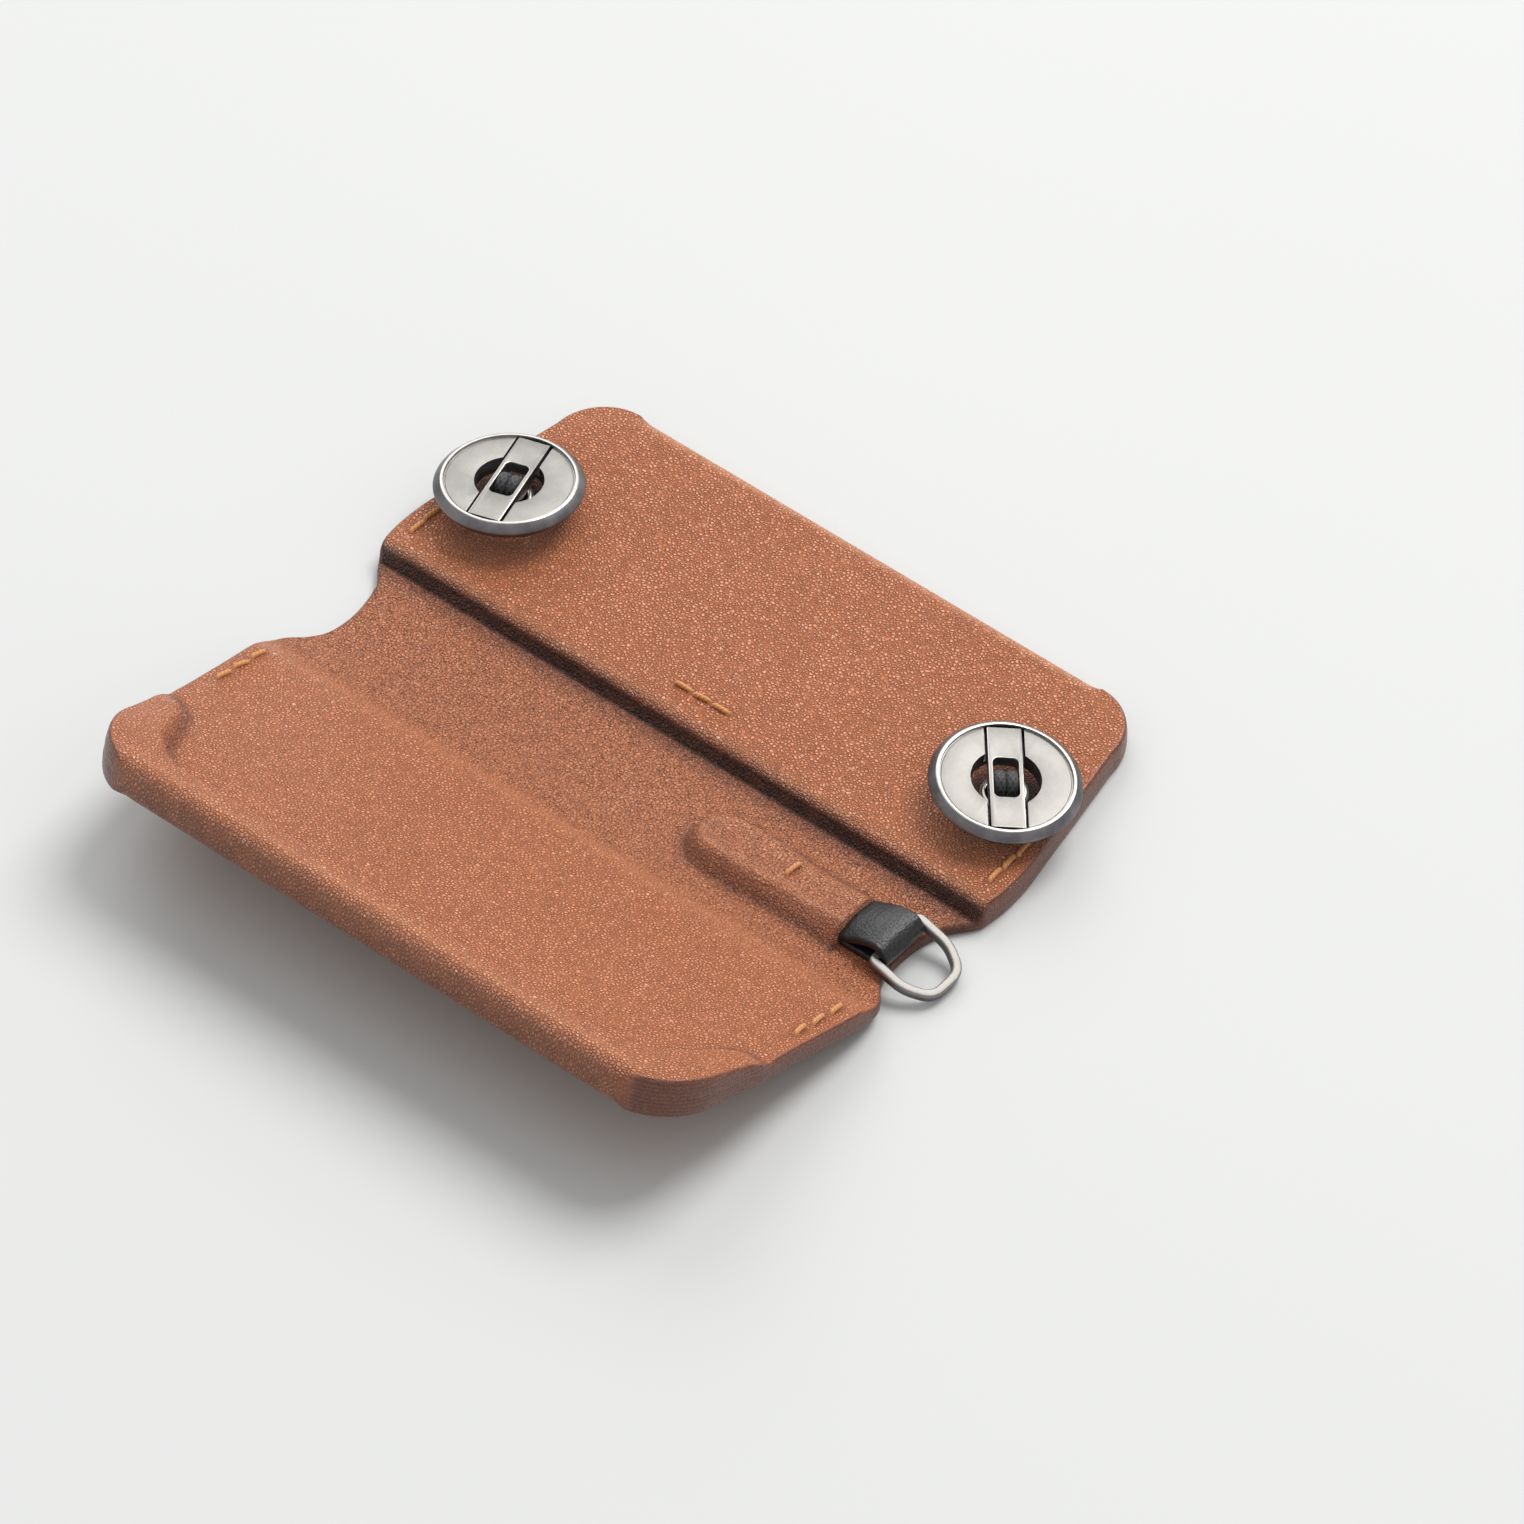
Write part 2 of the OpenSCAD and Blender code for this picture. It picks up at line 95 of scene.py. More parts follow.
class KeyCoverLeather(bpy.types.PropertyGroup):
    """Sizes of the moulded leather cover"""

    length: length("Length", "Length of the cover at its widest", 2 * BACK_HIGH.x)
    back_width: length("Back width", "From the step to the back's far edge", BACK_HIGH.y)
    back_thickness: length("Back thickness", "Thickness of the back", BACK_HIGH.z)
    back_taper: length("Back taper", "How far each end draws in at the far corners", 0.004)
    back_corner: length("Back corner", "Radius of the back's far corners", 0.008)
    spine_thickness: length("Spine thickness", "Thickness of the spine", 0.002)
    spine_scoop: length("Spine scoop", "How deep the spine's ends are scooped out", 0.0042)
    flap_width: length("Flap width", "From the fold to the flap's outer edge", 0.0416)
    flap_thickness: length("Flap thickness", "Thickness of the flap inside its rim", 0.0032)
    flap_tilt: angle("Flap tilt", "How far the flap stands up from flat", 17)
    flap_corner: length("Flap corner", "Radius of the flap's outer corners", 0.010)
    rim_height: length("Rim height", "Height of the rim above the flap", 0.0028)
    rim_width: length("Rim width", "Width of the rim along the outer edge", 0.0058)
    rolled_edge: length("Rolled edge", "Radius of the long, turned edges", 0.0021)
    cut_edge: length("Cut edge", "Radius of the short, cut and burnished edges", 0.0006)
    seam: length("Leaf seam", "Distance from the step to where the two leaves meet", 0.005)
    pocket_length: length("Pocket length", "Length of the pocket the strap goes into", 0.0275)
    pocket_height: length("Pocket height", "Height of the pocket above the spine", 0.0029)


class KeyCoverMetal(bpy.types.PropertyGroup):
    """Sizes of the posts, discs, toggles and elastic"""

    post_x: length(
        "Post place", "Distance of each post from mid-length", (POST_LOW.x + POST_HIGH.x) / 2)
    post_y: length(
        "Post row", "Distance of the posts from the step", (POST_LOW.y + POST_HIGH.y) / 2)
    post_radius: length("Post radius", "Outer radius of a post", 0.0032)
    post_bore: length("Post bore", "Radius of the hole through a post", 0.0022)
    post_top: length("Post top", "Height of a post's top", POST_HIGH.z)
    disc_across: length("Disc diameter", "Outside diameter of a disc", 0.020)
    disc_thickness: length("Disc thickness", "Thickness of a disc", 0.0026)
    disc_low: length("Disc height", "Height of a disc's underside at its middle", 0.0069)
    disc_hole: length("Disc hole", "Diameter of the hole in a disc", 0.0092)
    toggle_length: length("Toggle length", "Length of a toggle bar", 0.017)
    toggle_width: length("Toggle width", "Width of a toggle bar", 0.0045)
    window_length: length("Window length", "Length of the window in a toggle bar", 0.0064)
    window_width: length("Window width", "Width of the window in a toggle bar", 0.0033)
    bevel: length("Edge break", "Width of the broken edges of the metal", 0.00013)
    cord_width: length("Elastic width", "Width of one braided strand", 0.0015)
    cord_thickness: length("Elastic thickness", "Thickness of one braided strand", 0.00115)
    left_tilt: angle("Left tilt", "Tilt of the left disc", 5.5)
    left_lean: angle("Left lean", "Direction the left disc leans towards", 129)
    left_turn: angle("Left turn", "Direction of the left toggle bar", 106)
    right_tilt: angle("Right tilt", "Tilt of the right disc", 7)
    right_lean: angle("Right lean", "Direction the right disc leans towards", 14)
    right_turn: angle("Right turn", "Direction of the right toggle bar", 131)


class KeyCoverStrap(bpy.types.PropertyGroup):
    """Sizes of the strap and its ring"""

    strap_width: length("Strap width", "Width of the strap", STRAP_HIGH.y - STRAP_LOW.y)
    strap_thickness: length("Strap thickness", "Thickness of the strap leather", 0.0011)
    strap_y: length(
        "Strap place", "Distance of the strap's middle from the step",
        -(STRAP_LOW.y + STRAP_HIGH.y) / 2)
    ring_x: length("Ring bar", "Distance of the ring's bar from mid-length", 0.045)
    ring_z: length("Ring height", "Height of the ring's bar", 0.004)
    ring_reach: length("Ring reach", "How far the ring stands out from its bar", 0.0093)
    ring_wire: length("Ring thickness", "Thickness of the ring's wire", 0.0014)
    ring_side: length("Ring wire width", "Width of the ring's wire", 0.00125)
    ring_half: length(
        "Ring half width", "Half the ring's outside width", (RING_HIGH.y - RING_LOW.y) / 2)
    ring_slope: angle("Ring slope", "How far the ring hangs down from level", 19)


class KeyCoverColours(bpy.types.PropertyGroup):
    """Colours of the finishes"""

    tan: colour("Tan", "Leather, where it is lit evenly", (0.560, 0.178, 0.066))
    # The deep tan is the leather's darker mottling. It is also the colour of the painted shade in
    # the grain's valleys and in the spine's fold troughs.
    tan_deep: colour("Deep tan", "Leather, in its darker mottling and pores", (0.300, 0.070, 0.020))
    # The pale tan gives light flecks in the grain. It is also the colour of the painted highlight
    # on the pebble tops and along the crests.
    tan_worn: colour("Worn tan", "Leather, where it is rubbed", (0.740, 0.330, 0.170))
    # The burnish colour paints the cut edges. It is also used for the painted shade in grooves,
    # round the posts and stitches, and under the edges.
    burnish: colour("Burnish", "Cut edges of the leather", (0.080, 0.018, 0.008))
    thread: colour("Thread", "Stitching", (0.660, 0.270, 0.078))
    strap: colour("Strap", "Black strap leather", (0.010, 0.010, 0.011))
    nickel: colour("Nickel", "Satin faces of the discs, toggles and ring", (0.320, 0.308, 0.290))
    nickel_bright: colour("Bright nickel", "Rubbed rims and edges", (0.470, 0.455, 0.430))
    # The gunmetal colour is a darker metal used as painted shade on the sides, undersides and
    # recesses of the discs and toggles, and on the ring's lower side.
    gunmetal: colour("Gunmetal", "Sides and undersides of the discs", (0.180, 0.172, 0.180))
    elastic: colour("Elastic", "Braided strands", (0.012, 0.012, 0.013))
    floor: colour("Floor", "Surface the cover lies on", (0.592, 0.602, 0.598))


class KeyCoverStudio(bpy.types.PropertyGroup):
    """The camera and the lights"""

    lens: FloatProperty(
        name="Lens", description="Focal length on a 36 mm wide sensor", default=279.5, unit="CAMERA"
    )
    elevation: angle("Elevation", "How far the camera looks down", 47.5)
    heading: angle("Heading", "Direction of the picture's right-hand side", 39.356)
    distance: length("Distance", "From the camera to what it looks at", 1.5187)
    aim_x: length("Aim x", "Where the camera looks, along the length", 0.010365)
    aim_y: length("Aim y", "Where the camera looks, across the width", 0.004503)
    key_power: FloatProperty(name="Key light", description="Power of the key light", default=51.0)
    fill_power: FloatProperty(
        name="Fill light", description="Power of the fill light", default=25.0)
    sky: FloatProperty(name="Sky", description="Strength of the even light all round", default=0.68)


GROUPS = {
    "key_cover_leather": KeyCoverLeather,
    "key_cover_metal": KeyCoverMetal,
    "key_cover_strap": KeyCoverStrap,
    "key_cover_colours": KeyCoverColours,
    "key_cover_studio": KeyCoverStudio,
}


# ---- finishes ----------------------------------------------------------------


def node(tree, kind, inputs=None, **settings):
    """A shader node with its settings, and its inputs either linked or set."""
    made = tree.nodes.new(kind)
    for key, value in settings.items():
        setattr(made, key, value)
    for key, value in (inputs or {}).items():
        socket = made.inputs[key]
        if isinstance(value, bpy.types.NodeSocket):
            tree.links.new(value, socket)
        elif socket.type == "RGBA" and len(value) == 3:
            socket.default_value = (*value, 1)
        else:
            socket.default_value = value
    return made


class Finish:
    """A material being built: short calls for the nodes its pieces share."""

    def __init__(self, name):
        self.material = bpy.data.materials.new(name)
        self.material.use_nodes = True
        self.tree = self.material.node_tree
        self.shader = self.tree.nodes["Principled BSDF"]

    def attribute(self, name, output="Fac"):
        return node(self.tree, "ShaderNodeAttribute", attribute_name=name).outputs[output]

    def place(self):
        return node(self.tree, "ShaderNodeTexCoord").outputs["Object"]

    def stretched(self, vector, scale):
        return node(
            self.tree, "ShaderNodeMapping", {"Vector": vector, "Scale": scale}
        ).outputs["Vector"]

    def noise(self, vector, scale, detail=3.0, roughness=0.5, distortion=0.0):
        inputs = {
            "Vector": vector, "Scale": scale, "Detail": detail,
            "Roughness": roughness, "Distortion": distortion,
        }
        return node(self.tree, "ShaderNodeTexNoise", inputs).outputs["Fac"]

    def cells(self, vector, scale, feature="F1"):
        made = node(
            self.tree, "ShaderNodeTexVoronoi", {"Vector": vector, "Scale": scale}, feature=feature
        )
        return made.outputs["Distance"]

    def ramp(self, value, low, high, out_low=0.0, out_high=1.0):
        inputs = {
            "Value": value, "From Min": low, "From Max": high,
            "To Min": out_low, "To Max": out_high,
        }
        return node(self.tree, "ShaderNodeMapRange", inputs).outputs["Result"]

    def sum(self, kind, a, b):
        made = node(self.tree, "ShaderNodeMath", operation=kind)
        for socket, value in zip(made.inputs, (a, b)):
            if isinstance(value, bpy.types.NodeSocket):
                self.tree.links.new(value, socket)
            else:
                socket.default_value = value
        return made.outputs[0]

    def mix(self, share, first, second, blend="MIX"):
        made = node(self.tree, "ShaderNodeMix", data_type="RGBA", blend_type=blend)
        for index, value in ((0, share), (6, first), (7, second)):
            if isinstance(value, bpy.types.NodeSocket):
                self.tree.links.new(value, made.inputs[index])
            elif index:
                made.inputs[index].default_value = (*value, 1)
            else:
                made.inputs[index].default_value = value
        return made.outputs[2]

    def bump(self, height, strength, depth, under=None):
        inputs = {"Height": height, "Strength": strength, "Distance": depth}
        if under is not None:
            inputs["Normal"] = under
        return node(self.tree, "ShaderNodeBump", inputs).outputs["Normal"]

    def done(self, **inputs):
        for key, value in inputs.items():
            socket = self.shader.inputs[key.replace("_", " ")]
            if isinstance(value, bpy.types.NodeSocket):
                self.tree.links.new(value, socket)
            else:
                socket.default_value = value
        return self.material


def once(make):
    """Makes a material the first time it is asked for, and hands the same one back later."""

    def made(colours):
        found = bpy.data.materials.get(make.__name__)
        return found or make(colours)

    return made


@once
def moulded_leather(c):
    f = Finish("moulded_leather")
    place = f.attribute("place", "Vector")
    cloud = f.noise(place, 0.05, 3.0, 0.55)
    mottle = f.noise(place, 0.42, 4.0, 0.6, 0.4)
    grain = f.noise(place, 3.2, 3.0, 0.6)
    bent = f.stretched(place, (1.0, 1.15, 0.9))
    cut = f.attribute("cut")
    pebble = f.ramp(f.cells(bent, 2.0, "DISTANCE_TO_EDGE"), 0.0, 0.28)
    pebble = f.sum("MAXIMUM", pebble, f.ramp(cut, 0.0, 0.7, 0.0, 0.45))
    small = f.ramp(f.cells(place, 3.6), 0.05, 0.6, 1.0, 0.0)
    pull = f.noise(f.stretched(place, (0.42, 1.0, 1.0)), 2.3, 3.0, 0.65, 0.9)
    spine = f.attribute("spine")
    base = f.mix(f.ramp(cloud, 0.30, 0.70, 0.80, 1.0), c.tan_deep, c.tan)
    base = f.mix(f.ramp(mottle, 0.45, 0.70, 0.0, 0.16), base, c.tan_deep)
    # Painted shade: the grain's valleys are darkened towards the deep tan. Painted highlight: the
    # pebble tops are lightened towards the pale tan.
    base = f.mix(f.ramp(pebble, 0.0, 0.45, 0.74, 0.0), base, c.tan_deep)
    base = f.mix(f.ramp(pebble, 0.45, 1.0, 0.0, 0.34), base, c.tan_worn)
    base = f.mix(f.ramp(grain, 0.55, 0.72, 0.0, 0.16), base, c.tan_worn)
    # Painted shade in the troughs of the spine's wrinkles.
    fold_shade = f.sum("MULTIPLY", f.ramp(pull, 0.36, 0.50, 0.26, 0.0), spine)
    base = f.mix(fold_shade, base, c.tan_deep)
    # Painted highlight: lighter leather along the rolled edges' crests, the step's shoulder, the
    # flap's fold and the pocket's side. The same mask also makes these places glossier.
    painted_crest_highlight = f.sum("MULTIPLY", f.attribute("rub"), f.ramp(mottle, 0.3, 0.7, 0.25, 0.75))
    base = f.mix(painted_crest_highlight, base, c.tan_worn)
    # Painted shade: the leather is darkened towards the burnish colour in grooves, round the posts
    # and stitches, at the foot of the rim and the pocket, and on and under the edges.
    creases_and_shade = f.sum("MULTIPLY", f.attribute("creases_and_shade"), f.ramp(mottle, 0.3, 0.6, 0.6, 0.95))
    base = f.mix(creases_and_shade, base, c.burnish)
    # Near-black painted shade where the shade mask is strongest: the step's groove, round the posts
    # under the discs and at the pocket's mouth.
    base = f.mix(f.ramp(f.attribute("creases_and_shade"), 0.90, 1.0, 0.0, 0.6), base, (0.030, 0.008, 0.004))
    layers = node(
        f.tree, "ShaderNodeTexWave",
        {"Vector": place, "Scale": 0.55, "Distortion": 1.6, "Detail": 2.0, "Detail Scale": 2.0},
        wave_type="BANDS", bands_direction="Z",
    ).outputs["Fac"]
    edge = f.mix(f.ramp(layers, 0.15, 0.85, 0.0, 0.30), c.burnish, c.tan_deep)
    edge = f.mix(f.ramp(grain, 0.5, 0.7, 0.0, 0.10), edge, c.tan)
    base = f.mix(f.sum("MULTIPLY", cut, 0.95), base, edge)
    rough = f.ramp(grain, 0.30, 0.70, 0.29, 0.41)
    rough = f.sum("SUBTRACT", rough, f.sum("MULTIPLY", f.attribute("rub"), 0.07))
    flat = f.bump(pebble, 0.9, 0.00030)
    flat = f.bump(small, 0.25, 0.00008, flat)
    flat = f.bump(grain, 0.20, 0.00012, flat)
    flat = f.bump(f.sum("MULTIPLY", pull, spine), 0.85, 0.00060, flat)
    flat = f.bump(f.sum("MULTIPLY", layers, cut), 0.3, 0.00008, flat)
    return f.done(
        Base_Color=base, Roughness=rough, Normal=flat, Specular_IOR_Level=0.62,
        Sheen_Weight=0.06, Sheen_Roughness=0.4, Coat_Weight=0.05, Coat_Roughness=0.35,
    )


@once
def strap_leather(c):
    f = Finish("strap_leather")
    place = f.stretched(f.place(), (1000, 1000, 1000))
    grain = f.noise(place, 2.8, 3.0, 0.6)
    creases_and_shade = f.noise(f.stretched(place, (1.0, 0.25, 1.0)), 1.3, 3.0, 0.6, 0.5)
    pebble = f.cells(place, 2.8)
    base = f.mix(f.ramp(grain, 0.45, 0.75, 0.0, 0.6), c.strap, (0.040, 0.040, 0.042))
    # Painted shade in the grain's pits, where the bump is lowest.
    base = f.mix(f.ramp(pebble, 0.0, 0.2, 0.5, 0.0), base, (0.004, 0.004, 0.004))
    flat = f.bump(pebble, 0.35, 0.00012)
    flat = f.bump(grain, 0.4, 0.00016, flat)
    flat = f.bump(creases_and_shade, 0.35, 0.0003, flat)
    return f.done(
        Base_Color=base, Roughness=f.ramp(grain, 0.3, 0.7, 0.30, 0.44), Normal=flat,
        Specular_IOR_Level=0.42,
    )


def satin(name, main, light, rough, scratch=0.35):
    """Bead-blasted and plated metal, with a fine tooth and faint clouding."""
    f = Finish(name)
    place = f.stretched(f.place(), (1000, 1000, 1000))
    cloud = f.noise(place, 0.22, 3.0, 0.6)
    tooth = f.noise(place, 6.0, 3.0, 0.7)
    fine = f.cells(place, 7.5)
    base = f.mix(f.ramp(cloud, 0.35, 0.65, 0.0, 1.0), [x * 0.80 for x in main], light)
    base = f.mix(f.ramp(tooth, 0.35, 0.7, 0.0, 0.35), base, [x * 0.62 for x in main])
    flat = f.bump(tooth, scratch, 0.00005)
    flat = f.bump(fine, scratch * 0.6, 0.00004, flat)
    return f.done(
        Base_Color=base, Metallic=1.0, Normal=flat,
        Roughness=f.ramp(cloud, 0.3, 0.7, rough - 0.05, rough + 0.06),
    )


@once
def satin_nickel(c):
    return satin("satin_nickel", c.nickel, [x * 1.12 for x in c.nickel], 0.53)


@once
def bright_nickel(c):
    return satin("bright_nickel", c.nickel_bright, c.nickel_bright, 0.33, 0.18)


# A darker copy of the plated metal, used as painted shade on sides, undersides and recesses.
@once
def shaded_metal(c):
    return satin("shaded_metal", c.gunmetal, [x * 1.6 for x in c.gunmetal], 0.42)


@once
def post_nickel(c):
    return satin("post_nickel", [x * 1.1 for x in c.nickel], c.nickel_bright, 0.26, 0.2)


@once
def keeper_plate(c):
    return satin("keeper_plate", (0.42, 0.43, 0.44), (0.60, 0.60, 0.60), 0.34)


@once
def magnet_plate(c):
    return satin("magnet_plate", (0.52, 0.52, 0.53), (0.72, 0.71, 0.70), 0.22, 0.15)


@once
def fibre_board(c):
    f = Finish("fibre_board")
    place = f.stretched(f.place(), (1000, 1000, 1000))
    fibres = f.noise(f.stretched(place, (0.3, 1.4, 1.0)), 2.4, 5.0, 0.65, 0.5)
    speck = f.cells(place, 1.6)
    base = f.mix(f.ramp(fibres, 0.35, 0.7), (0.065, 0.050, 0.038), (0.150, 0.118, 0.088))
    base = f.mix(f.ramp(speck, 0.0, 0.25, 0.5, 0.0), base, (0.03, 0.024, 0.02))
    return f.done(
        Base_Color=base, Roughness=f.ramp(fibres, 0.3, 0.7, 0.7, 0.9),
        Normal=f.bump(fibres, 0.5, 0.0001),
    )


@once
def stitch_thread(c):
    f = Finish("stitch_thread")
    place = f.stretched(f.place(), (1000, 1000, 1000))
    fuzz = f.noise(place, 9.0, 3.0, 0.6)
    ply = f.attribute("ply")
    base = f.mix(f.ramp(fuzz, 0.35, 0.7, 0.0, 0.6), c.thread, [x * 0.55 for x in c.thread])
    # Painted shade in the groove between the two twisted plies.
    base = f.mix(f.ramp(ply, 0.0, 0.6, 0.65, 0.0), base, [x * 0.3 for x in c.thread])
    return f.done(
        Base_Color=base, Roughness=f.ramp(fuzz, 0.3, 0.7, 0.55, 0.75),
        Normal=f.bump(fuzz, 0.4, 0.00004), Sheen_Weight=0.2,
    )


@once
def braided_elastic(c):
    f = Finish("braided_elastic")
    place = f.stretched(f.place(), (1000, 1000, 1000))
    yarn = f.attribute("yarn")
    fuzz = f.noise(place, 8.0, 3.0, 0.6)
    # Painted highlight: lighter grey on the tops of the plies that cross over.
    glint = f.sum("MULTIPLY", f.ramp(yarn, 0.7, 1.0), f.ramp(fuzz, 0.42, 0.62))
    base = f.mix(glint, c.elastic, (0.11, 0.11, 0.11))
    return f.done(
        Base_Color=base, Roughness=f.ramp(fuzz, 0.3, 0.7, 0.45, 0.7),
        Normal=f.bump(fuzz, 0.5, 0.00006), Sheen_Weight=0.15,
    )


@once
def pale_floor(c):
    f = Finish("pale_floor")
    drift = f.noise(f.place(), 3.0, 2.0, 0.5)
    base = f.mix(f.ramp(drift, 0.3, 0.7), c.floor, [x * 0.985 for x in c.floor])
    return f.done(Base_Color=base, Roughness=f.ramp(drift, 0.3, 0.7, 0.82, 0.9),
                  Specular_IOR_Level=0.15)


# ---- shapes ------------------------------------------------------------------


def smooth(low, high, value):
    t = np.clip((np.asarray(value, float) - low) / (high - low), 0, 1)
    return t * t * (3 - 2 * t)


def bell(value, middle, spread):
    return np.exp(-(((np.asarray(value, float) - middle) / spread) ** 2))


def through(places, at):
    """A smooth curve through (x, y) places, read off at each x."""
    x, y = np.array(places, float).T
    slope = np.gradient(y, x)
    at = np.clip(at, x[0], x[-1])
    i = np.clip(np.searchsorted(x, at) - 1, 0, len(x) - 2)
    h = x[i + 1] - x[i]
    u = (at - x[i]) / h
    return (
        (2 * u**3 - 3 * u**2 + 1) * y[i] + (u**3 - 2 * u**2 + u) * h * slope[i]
        + (3 * u**2 - 2 * u**3) * y[i + 1] + (u**3 - u**2) * h * slope[i + 1]
    )


def stations(low, high, step, near):
    """Positions from low to high, step apart, and closer near each (place, reach, fine)."""
    found = [low]
    while found[-1] < high:
        here = found[-1]
        gaps = [fine + 0.22 * max(abs(here - place) - reach, 0) for place, reach, fine in near]
        found.append(here + min([step] + gaps))
    found = np.array(found)
    return low + (found - low) * (high - low) / (found[-1] - low)


def distance(points, line):
    """Each point's distance to a line of short segments, and the nearest segment."""
    a, b = line[:-1], line[1:]
    along = b - a
    size = (along**2).sum(1)
    far, which = np.empty(len(points)), np.empty(len(points), int)
    for start in range(0, len(points), 4000):
        p = points[start:start + 4000, None, :] - a
        u = np.clip((p * along).sum(2) / size, 0, 1)
        gap = np.linalg.norm(p - u[..., None] * along, axis=2)
        which[start:start + 4000] = gap.argmin(1)
        far[start:start + 4000] = gap.min(1)
    return far, which


def roundover(d, radius):
    """How far a rounded edge has dropped at distance d inside the outline."""
    inside = np.clip(radius - d, 0, radius)
    return radius - np.sqrt(np.maximum(radius**2 - inside**2, 0))


def unevenness(x, y):
    """The slow waviness of a moulded leather surface."""
    return 0.05 * (
        np.sin(0.13 * x + 0.4) * np.sin(0.17 * y + 1.3)
        + 0.6 * np.sin(0.31 * x - 0.19 * y + 2.0) + 0.35 * np.sin(0.53 * y + 0.21 * x)
    )


def piece(name, points, faces, materials, values=None, shares=None, sharp=None):
    """A mesh object from points in millimetres, with per-point values for its finish."""
    mesh = bpy.data.meshes.new(name)
    places = (np.asarray(points, float) * MM).tolist()
    mesh.from_pydata(places, [], [list(map(int, f)) for f in faces])
    for key, value in (values or {}).items():
        value = np.asarray(value, np.float32)
        kind = "FLOAT_VECTOR" if value.ndim == 2 else "FLOAT"
        layer = mesh.attributes.new(key, kind, "POINT")
        layer.data.foreach_set("vector" if value.ndim == 2 else "value", value.ravel())
    for material in materials:
        mesh.materials.append(material)
    if shares is not None:
        mesh.polygons.foreach_set("material_index", np.asarray(shares, np.int32))
    mesh.update()
    return placed(name, mesh, sharp)


def placed(name, mesh, sharp=None):
    mesh.shade_smooth()
    if sharp is not None:
        mesh.set_sharp_from_angle(angle=math.radians(sharp))
    obj = bpy.data.objects.new(name, mesh)
    bpy.context.scene.collection.objects.link(obj)
    return obj


def leaf(top, under, values_top, values_under, flip, steps=9, groove=0.5):
    """A leather leaf: matching grids for its two faces, and the wall round its free edges."""
    rows, cols = top.shape[:2]
    index = np.arange(rows * cols).reshape(rows, cols)
    rim = np.concatenate([index[:-1, 0], index[-1, :-1], index[::-1, -1]])
    top, under = top.reshape(-1, 3), under.reshape(-1, 3)
    count, edge = rows * cols, len(rim)
    shares = np.linspace(0, 1, steps + 1)[1:-1]
    run = np.gradient(top[rim] + under[rim], axis=0)
    out = np.cross(run, under[rim] - top[rim] + 1e-9)
    out /= np.linalg.norm(out, axis=1)[:, None] + 1e-12
    height = np.linalg.norm(top[rim] - under[rim], axis=1)[:, None]
    if flip:
        out = -out
    seam = values_top["cut"].reshape(-1)[rim][:, None] if "cut" in values_top else 1.0
    walls = [
        top[rim] * (1 - a) + under[rim] * a
        + out * height * (0.035 * math.sin(math.pi * a) - 0.03 * seam * bell(a, groove, 0.06))
        for a in shares
    ]
    points = np.concatenate([top, under] + walls)

    def spread(first, second):
        first, second = first.reshape(count, -1), second.reshape(count, -1)
        mixed = [first[rim] * (1 - a) + second[rim] * a for a in shares]
        whole = np.concatenate([first, second] + mixed)
        return whole[:, 0] if whole.shape[1] == 1 else whole

    values = {key: spread(values_top[key], values_under[key]) for key in values_top}
    quads = np.stack([index[:-1, :-1], index[:-1, 1:], index[1:, 1:], index[1:, :-1]], -1)
    quads = quads.reshape(-1, 4)
    levels = [rim] + [2 * count + k * edge + np.arange(edge) for k in range(len(shares))]
    levels.append(rim + count)
    walls = [
        np.stack([a[:-1], a[1:], b[1:], b[:-1]], -1) for a, b in zip(levels[:-1], levels[1:])
    ]
    faces = np.concatenate([quads, (quads + count)[:, ::-1]] + walls)
    return points, (faces[:, ::-1] if flip else faces), values


def spun(profile, around=144):
    """Points and faces of a closed (r, z) profile turned round the Z axis."""
    profile = np.array(profile, float)
    turn = np.linspace(0, 2 * math.pi, around, endpoint=False)
    points = np.stack(
        [
            profile[:, 0, None] * np.cos(turn), profile[:, 0, None] * np.sin(turn),
            np.repeat(profile[:, 1, None], around, 1),
        ], -1
    ).reshape(-1, 3)
    size = len(profile)
    faces = []
    for i in range(size):
        a, b = i * around, ((i + 1) % size) * around
        faces += [
            (a + j, a + (j + 1) % around, b + (j + 1) % around, b + j) for j in range(around)
        ]
    return points, faces


def eased(corners, reach=0.12, steps=3):
    """A closed outline with each corner rounded off."""
    found = []
    corners = [np.array(c, float) for c in corners]
    for i, here in enumerate(corners):
        before, after = corners[i - 1] - here, corners[(i + 1) % len(corners)] - here
        cut = min(reach, 0.45 * np.linalg.norm(before), 0.45 * np.linalg.norm(after))
        a = here + before / np.linalg.norm(before) * cut
        b = here + after / np.linalg.norm(after) * cut
        for k in range(steps + 1):
            u = k / steps
            found.append((1 - u) ** 2 * a + 2 * u * (1 - u) * here + u * u * b)
    return found


